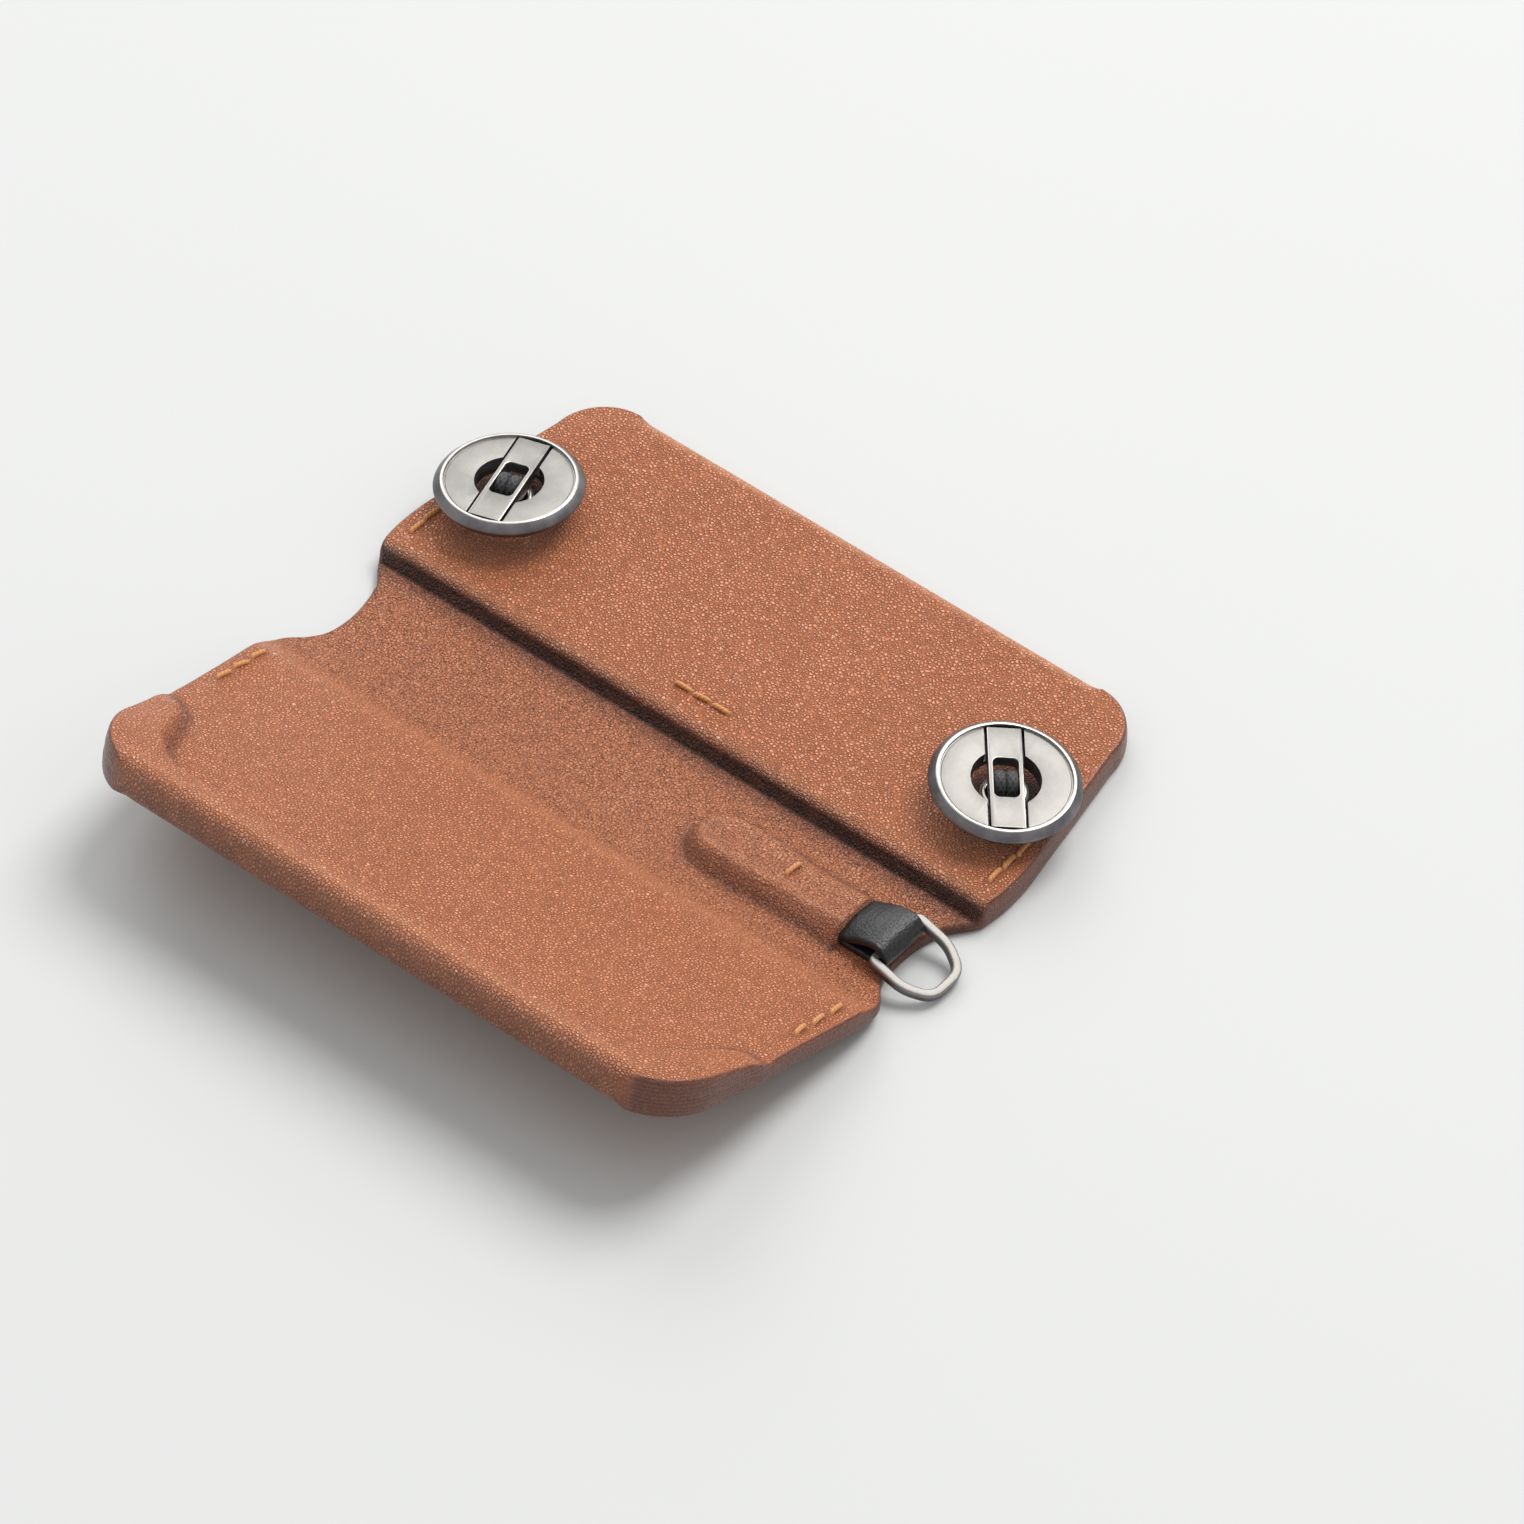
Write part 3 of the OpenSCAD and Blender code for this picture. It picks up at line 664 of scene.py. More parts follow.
def swept(path, section, closed=False, up=(0, 0, 1), grow=None):
    """Points and faces of an outline carried along a path; grow scales it at each point."""
    path, section = np.array(path, float), np.array(section, float)
    if closed:
        run = np.roll(path, -1, 0) - np.roll(path, 1, 0)
    else:
        run = np.gradient(path, axis=0)
    run /= np.linalg.norm(run, axis=1)[:, None]
    side = np.cross(run, np.array(up, float))
    side /= np.linalg.norm(side, axis=1)[:, None]
    over = np.cross(side, run)
    grow = np.ones(len(path)) if grow is None else np.asarray(grow, float)
    sections = section[None] if section.ndim == 2 else section
    offset = (
        side[:, None, :] * (sections[..., 0] * grow[:, None])[..., None]
        + over[:, None, :] * (sections[..., 1] * grow[:, None])[..., None]
    )
    points = (path[:, None, :] + offset).reshape(-1, 3)
    n, m = len(path), sections.shape[1]
    faces = []
    for i in range(n if closed else n - 1):
        a, b = i * m, ((i + 1) % n) * m
        faces += [(a + j, b + j, b + (j + 1) % m, a + (j + 1) % m) for j in range(m)]
    if not closed:
        faces += [tuple(range(m)), tuple(reversed(range((n - 1) * m, n * m)))]
    return points, faces


def moved(points, matrix):
    points = np.asarray(points, float)
    m = np.array(matrix)
    return points @ m[:3, :3].T + m[:3, 3]


def carved(name, block, tools, bevel):
    """A block with tools cut out of it and its edges broken, as a mesh in millimetres."""

    def made(label, points, faces):
        mesh = bpy.data.meshes.new(label)
        mesh.from_pydata(np.asarray(points).tolist(), [], [list(f) for f in faces])
        bm = bmesh.new()
        bm.from_mesh(mesh)
        bmesh.ops.recalc_face_normals(bm, faces=bm.faces)
        bm.to_mesh(mesh)
        bm.free()
        obj = bpy.data.objects.new(label, mesh)
        bpy.context.scene.collection.objects.link(obj)
        return obj

    body = made(name, *block)
    cutters = []
    for i, (kind, points, faces) in enumerate(tools):
        cutters.append(made(f"{name}_tool_{i}", points, faces))
        cut = body.modifiers.new(f"cut_{i}", "BOOLEAN")
        cut.operation, cut.solver, cut.object = kind, "EXACT", cutters[-1]
    edge = body.modifiers.new("edge", "BEVEL")
    edge.width, edge.segments, edge.limit_method = bevel, 2, "ANGLE"
    edge.angle_limit = math.radians(34)
    bpy.context.view_layer.update()
    mesh = bpy.data.meshes.new_from_object(
        body.evaluated_get(bpy.context.evaluated_depsgraph_get())
    )
    for obj in [body, *cutters]:
        bpy.data.objects.remove(obj)
    if len(mesh.polygons) < 50:
        raise RuntimeError(f"{name}: cutting left only {len(mesh.polygons)} faces")
    return mesh


def prism(outline, low, high):
    """Points and faces of a flat outline given a height."""
    n = len(outline)
    points = [(x, y, low) for x, y in outline] + [(x, y, high) for x, y in outline]
    faces = [tuple(reversed(range(n))), tuple(range(n, 2 * n))]
    faces += [(i, (i + 1) % n, n + (i + 1) % n, n + i) for i in range(n)]
    return points, faces


# ---- the leather's surfaces --------------------------------------------------


class Cover:
    """The cover's surfaces in millimetres, for the leaves and for what sits on them."""

    def __init__(self, scene):
        s, strap = scene.key_cover_leather, scene.key_cover_strap
        self.half = s.length / MM / 2
        self.back_width = s.back_width / MM
        self.back = s.back_thickness / MM
        self.taper, self.corner = s.back_taper / MM, s.back_corner / MM
        self.spine, self.scoop = s.spine_thickness / MM, s.spine_scoop / MM
        self.flap_width, self.flap = s.flap_width / MM, s.flap_thickness / MM
        self.tilt, self.flap_corner = s.flap_tilt, s.flap_corner / MM
        self.rim, self.rim_width = s.rim_height / MM, s.rim_width / MM
        self.roll, self.cut, self.seam = s.rolled_edge / MM, s.cut_edge / MM, s.seam / MM
        self.pocket_length, self.pocket = s.pocket_length / MM, s.pocket_height / MM
        self.strap_y, self.strap_half = strap.strap_y / MM, strap.strap_width / MM / 2
        self.ring_x = strap.ring_x / MM
        # The underside lies flat, rises on an arc of radius bend, and runs on at the flap's tilt.
        self.bend = 36.25
        self.flat = 21.5 - self.bend * math.sin(self.tilt) + 0.29
        self.fold = self.flat + self.bend * self.tilt + 0.26
        self.outer = self.fold + self.flap_width

    def back_half(self, y):
        """Half the back's length at distance y from the step."""
        h, far = self.half, self.back_width
        straight = through(
            [(-8, h - 0.3 - 0.94 * self.scoop), (-6, h - 0.3 - 0.84 * self.scoop),
             (-4, h - 0.3 - 0.66 * self.scoop), (-2, h - 0.3 - 0.28 * self.scoop), (-0.4, h - 0.35),
             (1.5, h), (9, h), (14, h - 0.22 * self.taper), (24, h - 0.66 * self.taper),
             (far - 8, h - self.taper)], y)
        r = self.corner
        up = np.clip((y - (far - r)) / r, 0, 1)
        return straight - r * (1 - np.sqrt(np.maximum(1 - up**2, 0)))

    def flap_half(self, t):
        """Half the spine's and the flap's length at distance t from the step."""
        h, d, s = self.half, self.scoop, self.fold
        straight = through(
            [(4, h - 0.3 - 0.66 * d), (6, h - 0.3 - 0.84 * d), (8, h - 0.3 - 0.94 * d),
             (10.5, h - 0.3 - d), (13, h - 0.3 - 0.97 * d), (15.5, h - 0.3 - 0.86 * d),
             (17.8, h - 0.3 - 0.58 * d), (s - 2, h - 0.3 - 0.16 * d), (s + 1, h - 0.25),
             (s + 4, h - 0.2), (s + 12, h - 0.55), (s + 20, h - 0.80), (s + 22.5, h - 0.72),
             (s + 26, h - 1.15), (s + 42, h - 1.9)], t)
        r = self.flap_corner
        up = np.clip((t - (self.outer - r)) / r, 0, 1)
        return straight - r * (1 - np.sqrt(np.maximum(1 - up**2, 0)))

    def flap_place(self, x, t, n):
        """Where a point t along the underside and n above it lies."""
        a = np.clip((t - self.flat) / self.bend, 0, self.tilt)
        past = np.maximum(t - self.flat - self.bend * self.tilt, 0)
        y = -np.minimum(t, self.flat) - (self.bend - n) * np.sin(a) - past * np.cos(a)
        z = self.bend - (self.bend - n) * np.cos(a) + past * np.sin(a)
        return np.stack(np.broadcast_arrays(x, y, z), -1)

    def pocket_inside(self, x, t):
        """Distances inside the strap pocket's outline, and in from its mouth."""
        end = self.ring_x - 6.1
        start, mid = end - self.pocket_length + 0.6, self.strap_y + 0.5
        half = self.strap_half + 1.35 + 0.12 * np.sin(0.35 * x)
        radius = half - 0.2
        dx = np.maximum(start + radius - x, 0)
        return np.where(
            x < start + radius, half - np.hypot(dx * half / radius, t - mid),
            half - np.abs(t - mid),
        ), end - x

    def pocket_height(self, x, t):
        side, mouth = self.pocket_inside(x, t)
        skirt = 2.3 + 0.5 * smooth(22, 36, x)
        lift = self.pocket + 0.30 * smooth(33, 38.6, x) - 0.22 * bell(x, 32, 3.5)
        shape = np.where(side > 0, np.sin(np.clip(side / skirt, 0, 1) * math.pi / 2) ** 1.25, 0)
        return lift * shape * smooth(-0.12, 0.12, mouth) + 0.15 * np.exp(
            -np.maximum(-side, 0) / 1.1) * smooth(-1, 2, mouth)

    def rim_start(self, x):
        """Where the raised rim begins, out from the fold, at each place along the length."""
        edge, back = self.flap_width - self.rim_width, self.flap_width - 18.2
        h = self.half
        return np.interp(
            np.abs(x),
            [0, h - 14.5, h - 12.2, h - 10.3, h - 8.8, h - 7.4, h - 6.2, h - 5.2, h - 4.2, h - 3,
             h - 1, h + 2],
            [edge, edge, edge - 0.7, edge - 2.0, edge - 3.8, edge - 7.0, edge - 9.8,
             back + 1.2, back + 0.35, back, back - 0.1, back - 0.3],
        )

    def rim_line(self):
        x = np.concatenate([np.linspace(0, self.half - 14.5, 30),
                            np.linspace(self.half - 14.4, self.half + 3, 90)])
        return np.stack([x, self.rim_start(x)], -1)

    def flap_top(self, x, t, rim_gap):
        """Height above the underside; rim_gap is the signed distance past the rim's inner line."""
        s = t - self.fold
        low = self.spine + (self.flap - self.spine) * smooth(-0.8, 4.4, s)
        shoulder = 0.08 * bell(s, 4.2, 2.2)
        wide = 1.5 - 0.75 * smooth(self.half - 13, self.half - 9, np.abs(x)) + 1.7 * smooth(
            self.half - 6, self.half - 2, np.abs(x))
        arm = smooth(self.half - 12, self.half - 8, np.abs(x)) * smooth(36, 23, s)
        rim = self.rim * (1 - 0.58 * arm) * smooth(-wide, wide, rim_gap)
        hollow = -(0.10 + 0.12 * arm) * bell(rim_gap, -1.7, 1.0)
        return low + shoulder + rim + hollow + self.pocket_height(x, t)

    def flap_surface(self, x, t):
        """A point on the inside of the spine or flap, and the direction straight up from it."""
        x, t = np.atleast_1d(np.asarray(x, float)), np.atleast_1d(np.asarray(t, float))
        gap = np.full(x.shape, -9.0)
        here = self.flap_place(x, t, self.flap_top(x, t, gap))[0]
        over = self.flap_place(x, t, self.flap_top(x, t, gap) + 1)[0]
        return here, over - here


def column_places(cover, step=0.5):
    """Places along the length, closer together at the ends."""
    right = stations(0, cover.half, step, [(cover.half, 0.7, 0.10)])
    return np.concatenate([-right[:0:-1], right])


def fitted(columns, half, cover, inner):
    """Columns kept where they are in the middle, and stretched to the outline outside that."""
    inner = np.asarray(inner, float)[:, None]
    half = np.asarray(half, float)[:, None]
    size = np.abs(columns)[None, :]
    near = size * inner / STRAIGHT
    far = inner + (size - STRAIGHT) * (half - inner) / (cover.half - STRAIGHT)
    return np.sign(columns) * np.where(size <= STRAIGHT, near, far)


def edge_facts(x, across, half_at, low, high, radii, turned):
    """Distance to the outline, the edge's radius there, and how much it is a cut edge.

    radii are those of the cut and the turned edge. turned says where across the leaf the far
    edge begins to be turned over and where it fully is, and how far out along it that reaches.
    """
    corner = 10
    y = np.concatenate([
        np.linspace(low, high - corner, 260)[:-1],
        high - corner * np.cos(np.linspace(0, math.pi / 2, 160)),
    ])
    outline = np.stack([half_at(y), y], -1)
    last = outline[-1, 0]
    far_edge = np.stack([np.linspace(last, 0, 60)[1:], np.full(59, high)], -1)
    outline = np.concatenate([outline, far_edge])
    begins, full, reach = turned
    cut = 1 - smooth(begins, full, outline[:-1, 1]) * smooth(
        reach + 2, reach - 1, outline[:-1, 0])
    radius = radii[0] * cut + radii[1] * (1 - cut)
    p = np.stack([np.abs(x).ravel(), across.ravel()], -1)
    d, which = distance(p, outline)
    shape = x.shape
    return d.reshape(shape), radius[which].reshape(shape), cut[which].reshape(shape)


# ---- operators ---------------------------------------------------------------


class KEYCOVER_OT_back_leaf(bpy.types.Operator):
    """Build the back with its step and the strip of spine beside it"""

    bl_idname = "keycover.back_leaf"
    bl_label = "Back leaf"

    def execute(self, context):
        c = Cover(context.scene)
        top_z, low_z, arc = c.back, c.spine, 1.8
        y = stations(-c.seam, -0.62, 0.5, [(-0.6, 0.4, 0.10)])
        z = low_z - 0.42 * bell(y, -0.5, 0.38)
        wall = np.linspace(0.12, 1, 8)
        y = np.concatenate([y, -0.62 + 0.62 * wall])
        z = np.concatenate([z, z[-1] + (top_z - arc - z[-1]) * wall**1.15])
        turn = np.linspace(0, math.pi / 2, 12)[1:]
        y = np.concatenate([y, arc * (1 - np.cos(turn))])
        z = np.concatenate([z, top_z - arc * (1 - np.sin(turn))])
        rest = stations(arc, c.back_width, 0.5, [(c.back_width, 1.6, 0.10)])[1:]
        y, z = np.concatenate([y, rest]), np.concatenate([z, np.full(len(rest), top_z)])

        columns = column_places(c)
        inner = STRAIGHT - 10 * smooth(10, c.back_width - 8, y)
        half = c.back_half(y)
        x = fitted(columns, half, c, inner)
        yy = np.repeat(y[:, None], len(columns), 1)
        d, radius, cut = edge_facts(
            x, yy, c.back_half, -c.seam - 3, c.back_width, (c.cut, c.roll),
            (c.back_width - 1.2, c.back_width - 0.05, 38.0),
        )
        thick = np.repeat(z[:, None], len(columns), 1)
        radius = np.minimum(radius, thick * 0.45)
        pressed = 0.22 * cut * (1 - smooth(0.2, 3.4, d))
        rough = unevenness(x, yy) * smooth(0.5, 5, d) * smooth(2, 7, yy)
        metal = context.scene.key_cover_metal
        post_x, post_y = metal.post_x / MM, metal.post_y / MM
        from_post = [np.hypot(x - side * post_x, yy - post_y) for side, _ in SIDES]
        around_posts = sum(bell(away, 3.7, 0.8) for away in from_post)
        shaded = sum(smooth(6.2, 4.4, away) for away in from_post)
        height = thick - roundover(d, radius) - pressed + rough - 0.12 * around_posts
        top = np.stack([x, yy, height], -1)
        under = np.stack([x, yy, roundover(d, radius * (1 - cut) + 0.5 * cut)], -1)
        stitch_shading = sunk(x, yy, back_stitch_places(c))
        shade = {
            "place": np.stack([x, yy, top[..., 2]], -1),
            "cut": cut * (1 - smooth(0.15, 0.65, d)),
            # Painted highlight along the rolled edge's crest and the step's shoulder.
            "rub": (1 - cut) * bell(d, 1.1, 0.9) + 0.8 * bell(yy, 1.0, 0.8),
            # Painted shade: the step's groove, a wider band on the spine where the step's shadow
            # falls, round the posts under the discs, and round the stitches.
            "creases_and_shade": np.clip(
                bell(yy, -0.45, 0.6) + 0.78 * bell(yy, -1.0, 2.1) + shaded + 0.55 * stitch_shading, 0, 1),
            "spine": smooth(-0.6, -2.0, yy),
        }
        below = {
            "place": np.stack([x, yy, under[..., 2]], -1),
            "cut": shade["cut"], "rub": (1 - cut) * bell(d, 1.1, 0.9),
            # Painted shade on the underside near the step.
            "creases_and_shade": 0.35 * bell(yy, -0.5, 1.0), "spine": shade["spine"],
        }
        points, faces, values = leaf(top, under, shade, below, flip=False)
        leather = moulded_leather(context.scene.key_cover_colours)
        obj = piece("cover_back", points, faces, [leather], values)
        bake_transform(obj)
        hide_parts("back_outer_leather", "back_inner_leather")
        return {"FINISHED"}


class KEYCOVER_OT_flap_leaf(bpy.types.Operator):
    """Build the spine with its strap pocket, and the flap with its raised rim"""

    bl_idname = "keycover.flap_leaf"
    bl_label = "Flap leaf"

    def execute(self, context):
        c = Cover(context.scene)
        rim_from = c.outer - c.rim_width
        t = stations(c.seam, c.outer, 0.46, [(c.outer, 1.9, 0.11), (rim_from, 1.6, 0.28),
                                             (c.strap_y + 0.5, 6.5, 0.30)])
        columns = column_places(c, 0.45)
        inner = STRAIGHT - 7 * smooth(c.fold, c.outer - 8, t)
        half = c.flap_half(t)
        x = fitted(columns, half, c, inner)
        tt = np.repeat(t[:, None], len(columns), 1)
        d, radius, cut = edge_facts(
            x, tt, c.flap_half, c.seam - 3, c.outer, (c.cut, c.roll),
            (c.fold + 20.5, c.fold + 23.5, 41.5),
        )
        s = tt - c.fold
        gap, _ = distance(np.stack([np.abs(x).ravel(), s.ravel()], -1), c.rim_line())
        gap = gap.reshape(x.shape) * np.where(s > c.rim_start(x), 1, -1)
        height = c.flap_top(x, tt, gap)
        radius = np.minimum(radius, (0.40 + 0.05 * cut) * height)
        pressed = 0.2 * cut * (1 - smooth(0.2, 3.0, d)) * smooth(c.spine, c.flap, height)
        side, mouth = c.pocket_inside(x, tt)
        wrinkle = bell(side, -1.6, 1.1) * smooth(0, 3, tt - c.strap_y) * (mouth > -0.5)
        waves = np.sin(2.4 * side + 0.5 * np.sin(0.6 * x))
        ripple = 0.11 * wrinkle * waves
        rough = unevenness(x, tt) * smooth(0.5, 5, d) * smooth(c.seam, c.seam + 4, tt)
        n_top = height - roundover(d, radius) - pressed + rough + ripple
        n_low = roundover(d, radius * (1 - cut) + np.minimum(0.5, 0.22 * height) * cut)
        top, under = c.flap_place(x, tt, n_top), c.flap_place(x, tt, n_low)
        stitch_shading = sunk(x, tt, flap_stitch_places(c) + [pocket_stitch_place(c)])
        rim_foot = bell(gap, -0.9, 0.8)
        foot = np.exp(-(np.clip(side - 0.2, -9, 9) / 0.8) ** 2) * (mouth > -0.3)
        shade = {
            "place": np.stack([x, -tt, n_top], -1),
            "cut": cut * (1 - smooth(0.15, 0.65, d)),
            # Painted highlight along the rolled edge, the flap's fold and the pocket's side.
            "rub": np.clip(
                0.4 * (1 - cut) * bell(d, 2.0, 1.2) + 0.25 * bell(s, 3.2, 2.0)
                + 0.4 * bell(side, 3.0, 0.8) * (mouth > 0),
                0, 1),
            # Painted shade: at the foot of the rim, beside and in the pocket's mouth, round the
            # stitches, in wrinkle troughs, and on the turned edge's wall.
            "creases_and_shade": np.clip(
                (0.42 + 0.3 * smooth(c.half - 12, c.half - 8, np.abs(x))) * rim_foot
                + 0.55 * foot + 0.45 * stitch_shading + 0.25 * wrinkle * (waves < -0.2)
                + bell(mouth, 0.0, 0.25) * (side > 0) + 0.4 * (1 - cut) * smooth(1.9, 0.1, d),
                0, 1),
            "spine": smooth(c.fold + 2.5, c.fold - 1.5, tt),
        }
        below = {
            "place": np.stack([x, -tt, n_low], -1),
            "cut": shade["cut"], "rub": 0 * x,
            # Painted shade on the underside near the outline.
            "creases_and_shade": 0.60 * smooth(5, 1.5, d), "spine": shade["spine"],
        }
        points, faces, values = leaf(top, under, shade, below, flip=True)
        leather = moulded_leather(context.scene.key_cover_colours)
        obj = piece("cover_flap", points, faces, [leather], values)
        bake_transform(obj)
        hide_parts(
            "spine_outer_leather", "spine_inner_leather", "flap_outer_leather",
            "flap_inner_leather", "flap_ridge",
        )
        return {"FINISHED"}


def back_stitch_places(c):
    """Middle and direction of each stitch on the back."""
    ends = [
        (side * (c.half - 2.4), 5.0 + 2.9 * i, math.pi / 2 + side * 0.10)
        for side in (-1, 1) for i in range(3)
    ]
    return ends + [(i * 3.1, 5.0, 0.06) for i in (-1, 0, 1)]


def flap_stitch_places(c):
    return [
        (side * (c.half - 2.6 - 0.1 * i), c.fold + 5.8 + 3.6 * i, math.pi / 2 - side * 0.12)
        for side in (-1, 1) for i in range(3)
    ]


def pocket_stitch_place(c):
    return c.ring_x - 17, c.strap_y - 0.4, math.pi / 2 + 0.12


def sunk(x, y, places):
    """How strongly the leather round each stitch is darkened: painted shade."""
    found = 0 * x
    for px, py, a in places:
        along = (x - px) * math.cos(a) + (y - py) * math.sin(a)
        beside = (y - py) * math.cos(a) - (x - px) * math.sin(a)
        away = np.hypot(np.maximum(np.abs(along) - 1.2, 0), beside)
        found = np.maximum(found, bell(away, 0, 0.7))
    return found


def stitch_shape(reach=1.36, thick=0.36, lift=0.24):
    """One stitch along X: two plies of thread twisted together, dipping in at both ends."""
    u = np.linspace(-1, 1, 41)
    path = np.stack([reach * u, 0 * u, lift - 0.75 * np.abs(u) ** 7 * 0.9 - 0.05 * u**2], -1)
    round_ = np.linspace(0, 2 * math.pi, 14, endpoint=False)
    twist = 5.2 * reach * u[:, None]
    lobes = thick * (0.86 + 0.14 * np.abs(np.cos(round_[None] - twist)) ** 0.7)
    section = np.stack([lobes * np.cos(round_), lobes * np.sin(round_)], -1)
    points, faces = swept(path, section)
    ply = np.abs(np.cos(round_[None] - twist)).ravel()
    return points, faces, ply


def stitch_row(name, places, material, body, node_name):
    """Stitches as one piece; each place is (position, direction, up)."""
    shape, faces, ply = stitch_shape()
    points, all_faces, plies = [], [], []
    for k, (spot, run, up) in enumerate(places):
        up = np.asarray(up, float) / np.linalg.norm(up)
        run = np.asarray(run, float) - up * (np.asarray(run, float) @ up)
        run /= np.linalg.norm(run)
        wobble = 0.05 * math.sin(3.7 * k + 1)
        side = np.cross(up, run)
        run, side = (
            run * math.cos(wobble) + side * math.sin(wobble),
            side * math.cos(wobble) - run * math.sin(wobble),
        )
        frame_ = np.stack([run, side, up], 0)
        all_faces += [tuple(i + len(points) * len(shape) for i in f) for f in faces]
        points.append(shape @ frame_ + np.asarray(spot))
        plies.append(ply)
    obj = piece(name, np.concatenate(points), all_faces, [material], {"ply": np.concatenate(plies)})
    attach(obj, body)
    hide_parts(node_name)
    return obj


class KEYCOVER_OT_stitches(bpy.types.Operator):
    """Sew the short rows of stitches at the ends, the middle of the back and the pocket"""

    bl_idname = "keycover.stitches"
    bl_label = "Stitches"

    def execute(self, context):
        c = Cover(context.scene)
        thread = stitch_thread(context.scene.key_cover_colours)
        back = [
            ((x, y, c.back - (0.10 if abs(x) > 20 else 0.02) + float(unevenness(x, y)) * 0.6),
             (math.cos(a), math.sin(a), 0), (0, 0, 1))
            for x, y, a in back_stitch_places(c)
        ]
        stitch_row("stitches_back", back, thread, "back", "back_stitches")
        flap = []
        for x, t, a in flap_stitch_places(c):
            spot, up = c.flap_surface(x, t)
            ahead, _ = c.flap_surface(x + math.cos(a), t + math.sin(a))
            flap.append((spot - 0.08 * up, ahead - spot, up))
        stitch_row("stitches_flap", flap, thread, "flap", "flap_stitches")
        x, t, a = pocket_stitch_place(c)
        spot, up = c.flap_surface(x, t)
        ahead, _ = c.flap_surface(x + math.cos(a), t + math.sin(a))
        stitch_row("stitch_pocket", [(spot, ahead - spot, up)], thread, "spine", "strap_stitch")
        return {"FINISHED"}


def disc_place(scene, side):
    """The place of a disc: z = 0 is its underside, and X runs along the toggle bar."""
    m = scene.key_cover_metal
    tilt, lean, turn = (
        (m.left_tilt, m.left_lean, m.left_turn) if side < 0
        else (m.right_tilt, m.right_lean, m.right_turn)
    )
    return (
        Matrix.Translation((side * m.post_x / MM, m.post_y / MM, m.disc_low / MM))
        @ Matrix.Rotation(lean, 4, "Z") @ Matrix.Rotation(tilt, 4, "Y")
        @ Matrix.Rotation(turn - lean, 4, "Z")
    )


class KEYCOVER_OT_posts(bpy.types.Operator):
    """Turn the two hollow posts that the keys go over"""

    bl_idname = "keycover.posts"
    bl_label = "Posts"

    def execute(self, context):
        m = context.scene.key_cover_metal
        r, bore, top = m.post_radius / MM, m.post_bore / MM, m.post_top / MM
        outline = [
            (bore, 2.3), (3.05, 2.3), (3.05, 1.1), (4.55, 1.1), (4.55, 3.15), (r + 0.02, 3.2),
            (r, top - 0.45), (r - 0.12, top - 0.16), (r - 0.40, top), (bore + 0.28, top),
            (bore + 0.06, top - 0.12), (bore, top - 0.4),
        ]
        for side, name in SIDES:
            points, faces = spun(eased(outline, 0.09, 2), 96)
            points = points + np.array([side * m.post_x / MM, m.post_y / MM, 0])
            material = post_nickel(context.scene.key_cover_colours)
            obj = piece(f"key_post_{name}", points, faces, [material], sharp=35)
            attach(obj, "back")
            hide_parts(f"post_{name}")
        return {"FINISHED"}


class KEYCOVER_OT_discs(bpy.types.Operator):
    """Turn and slot the two discs"""

    bl_idname = "keycover.discs"
    bl_label = "Discs"

    def execute(self, context):
        m, colours = context.scene.key_cover_metal, context.scene.key_cover_colours
        r, t, hole = m.disc_across / MM / 2, m.disc_thickness / MM, m.disc_hole / MM / 2
        bevel = m.bevel / MM
        rim, face = r - 0.95, r - 1.38
        outline = [
            (hole, 0), (r - 1.7, 0), (r - 0.75, 0.28), (r - 0.16, t - 1.42), (r, t - 1.18),
            (r - 0.10, t - 0.92), (rim + 0.06, t - 0.06), (rim - 0.06, t), (face + 0.05, t),
            (face, t - 0.42), (face - 0.22, t - 0.42), (face - 0.30, t - 0.32), (hole, t - 0.32),
        ]
        slot = m.toggle_width / MM / 2 + 0.35
        span = math.asin(slot / (face + 0.01))
        right = [
            ((face + 0.01) * math.cos(a), (face + 0.01) * math.sin(a))
            for a in np.linspace(-span, span, 13)
        ]
        cutter = prism(right + [(-x, -y) for x, y in right], 0.7, t + 2)
        for side, name in SIDES:
            mesh = carved(f"disc_{name}", spun(outline, 160), [("DIFFERENCE", *cutter)], bevel)
            mesh.transform(Matrix.Scale(MM, 4))
            for make in (satin_nickel, bright_nickel, shaded_metal):
                mesh.materials.append(make(colours))
            # The outer wall, underside, slot floor and hole wall get the darker metal: painted
            # shade.
            for p in mesh.polygons:
                x, y, z = p.center / MM
                out = math.hypot(x, y)
                outward = (p.normal.x * x + p.normal.y * y) / max(out, 0.1)
                if z > t - 0.2 and out > face - 0.1 and outward < 0.75 and p.normal.z > 0.05:
                    p.material_index = 1
                elif out > rim - 0.1 or z < 0.5 or (z < t - 0.45 and p.normal.z > -0.5):
                    p.material_index = 2
                elif p.area < 0.00000004 and p.normal.z > 0.2 and abs(p.normal.z) < 0.97:
                    p.material_index = 1
            mesh.transform(scaled(disc_place(context.scene, side)))
            obj = placed(f"key_disc_{name}", mesh, 30)
            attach(obj, f"disc_{name}")
            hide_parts(f"disc_{name}")
        return {"FINISHED"}


def scaled(matrix):
    """A placing in millimetres as one in metres."""
    made = matrix.copy()
    made.translation = made.translation * MM
    return made


def rounded_box(half_x, half_y, radius, steps=6):
    found = []
    for sx, sy, start in ((1, 1, 0), (-1, 1, 90), (-1, -1, 180), (1, -1, 270)):
        for a in np.radians(np.linspace(start, start + 90, steps)):
            found.append((
                sx * (half_x - radius) + radius * math.cos(a),
                sy * (half_y - radius) + radius * math.sin(a),
            ))
    return found


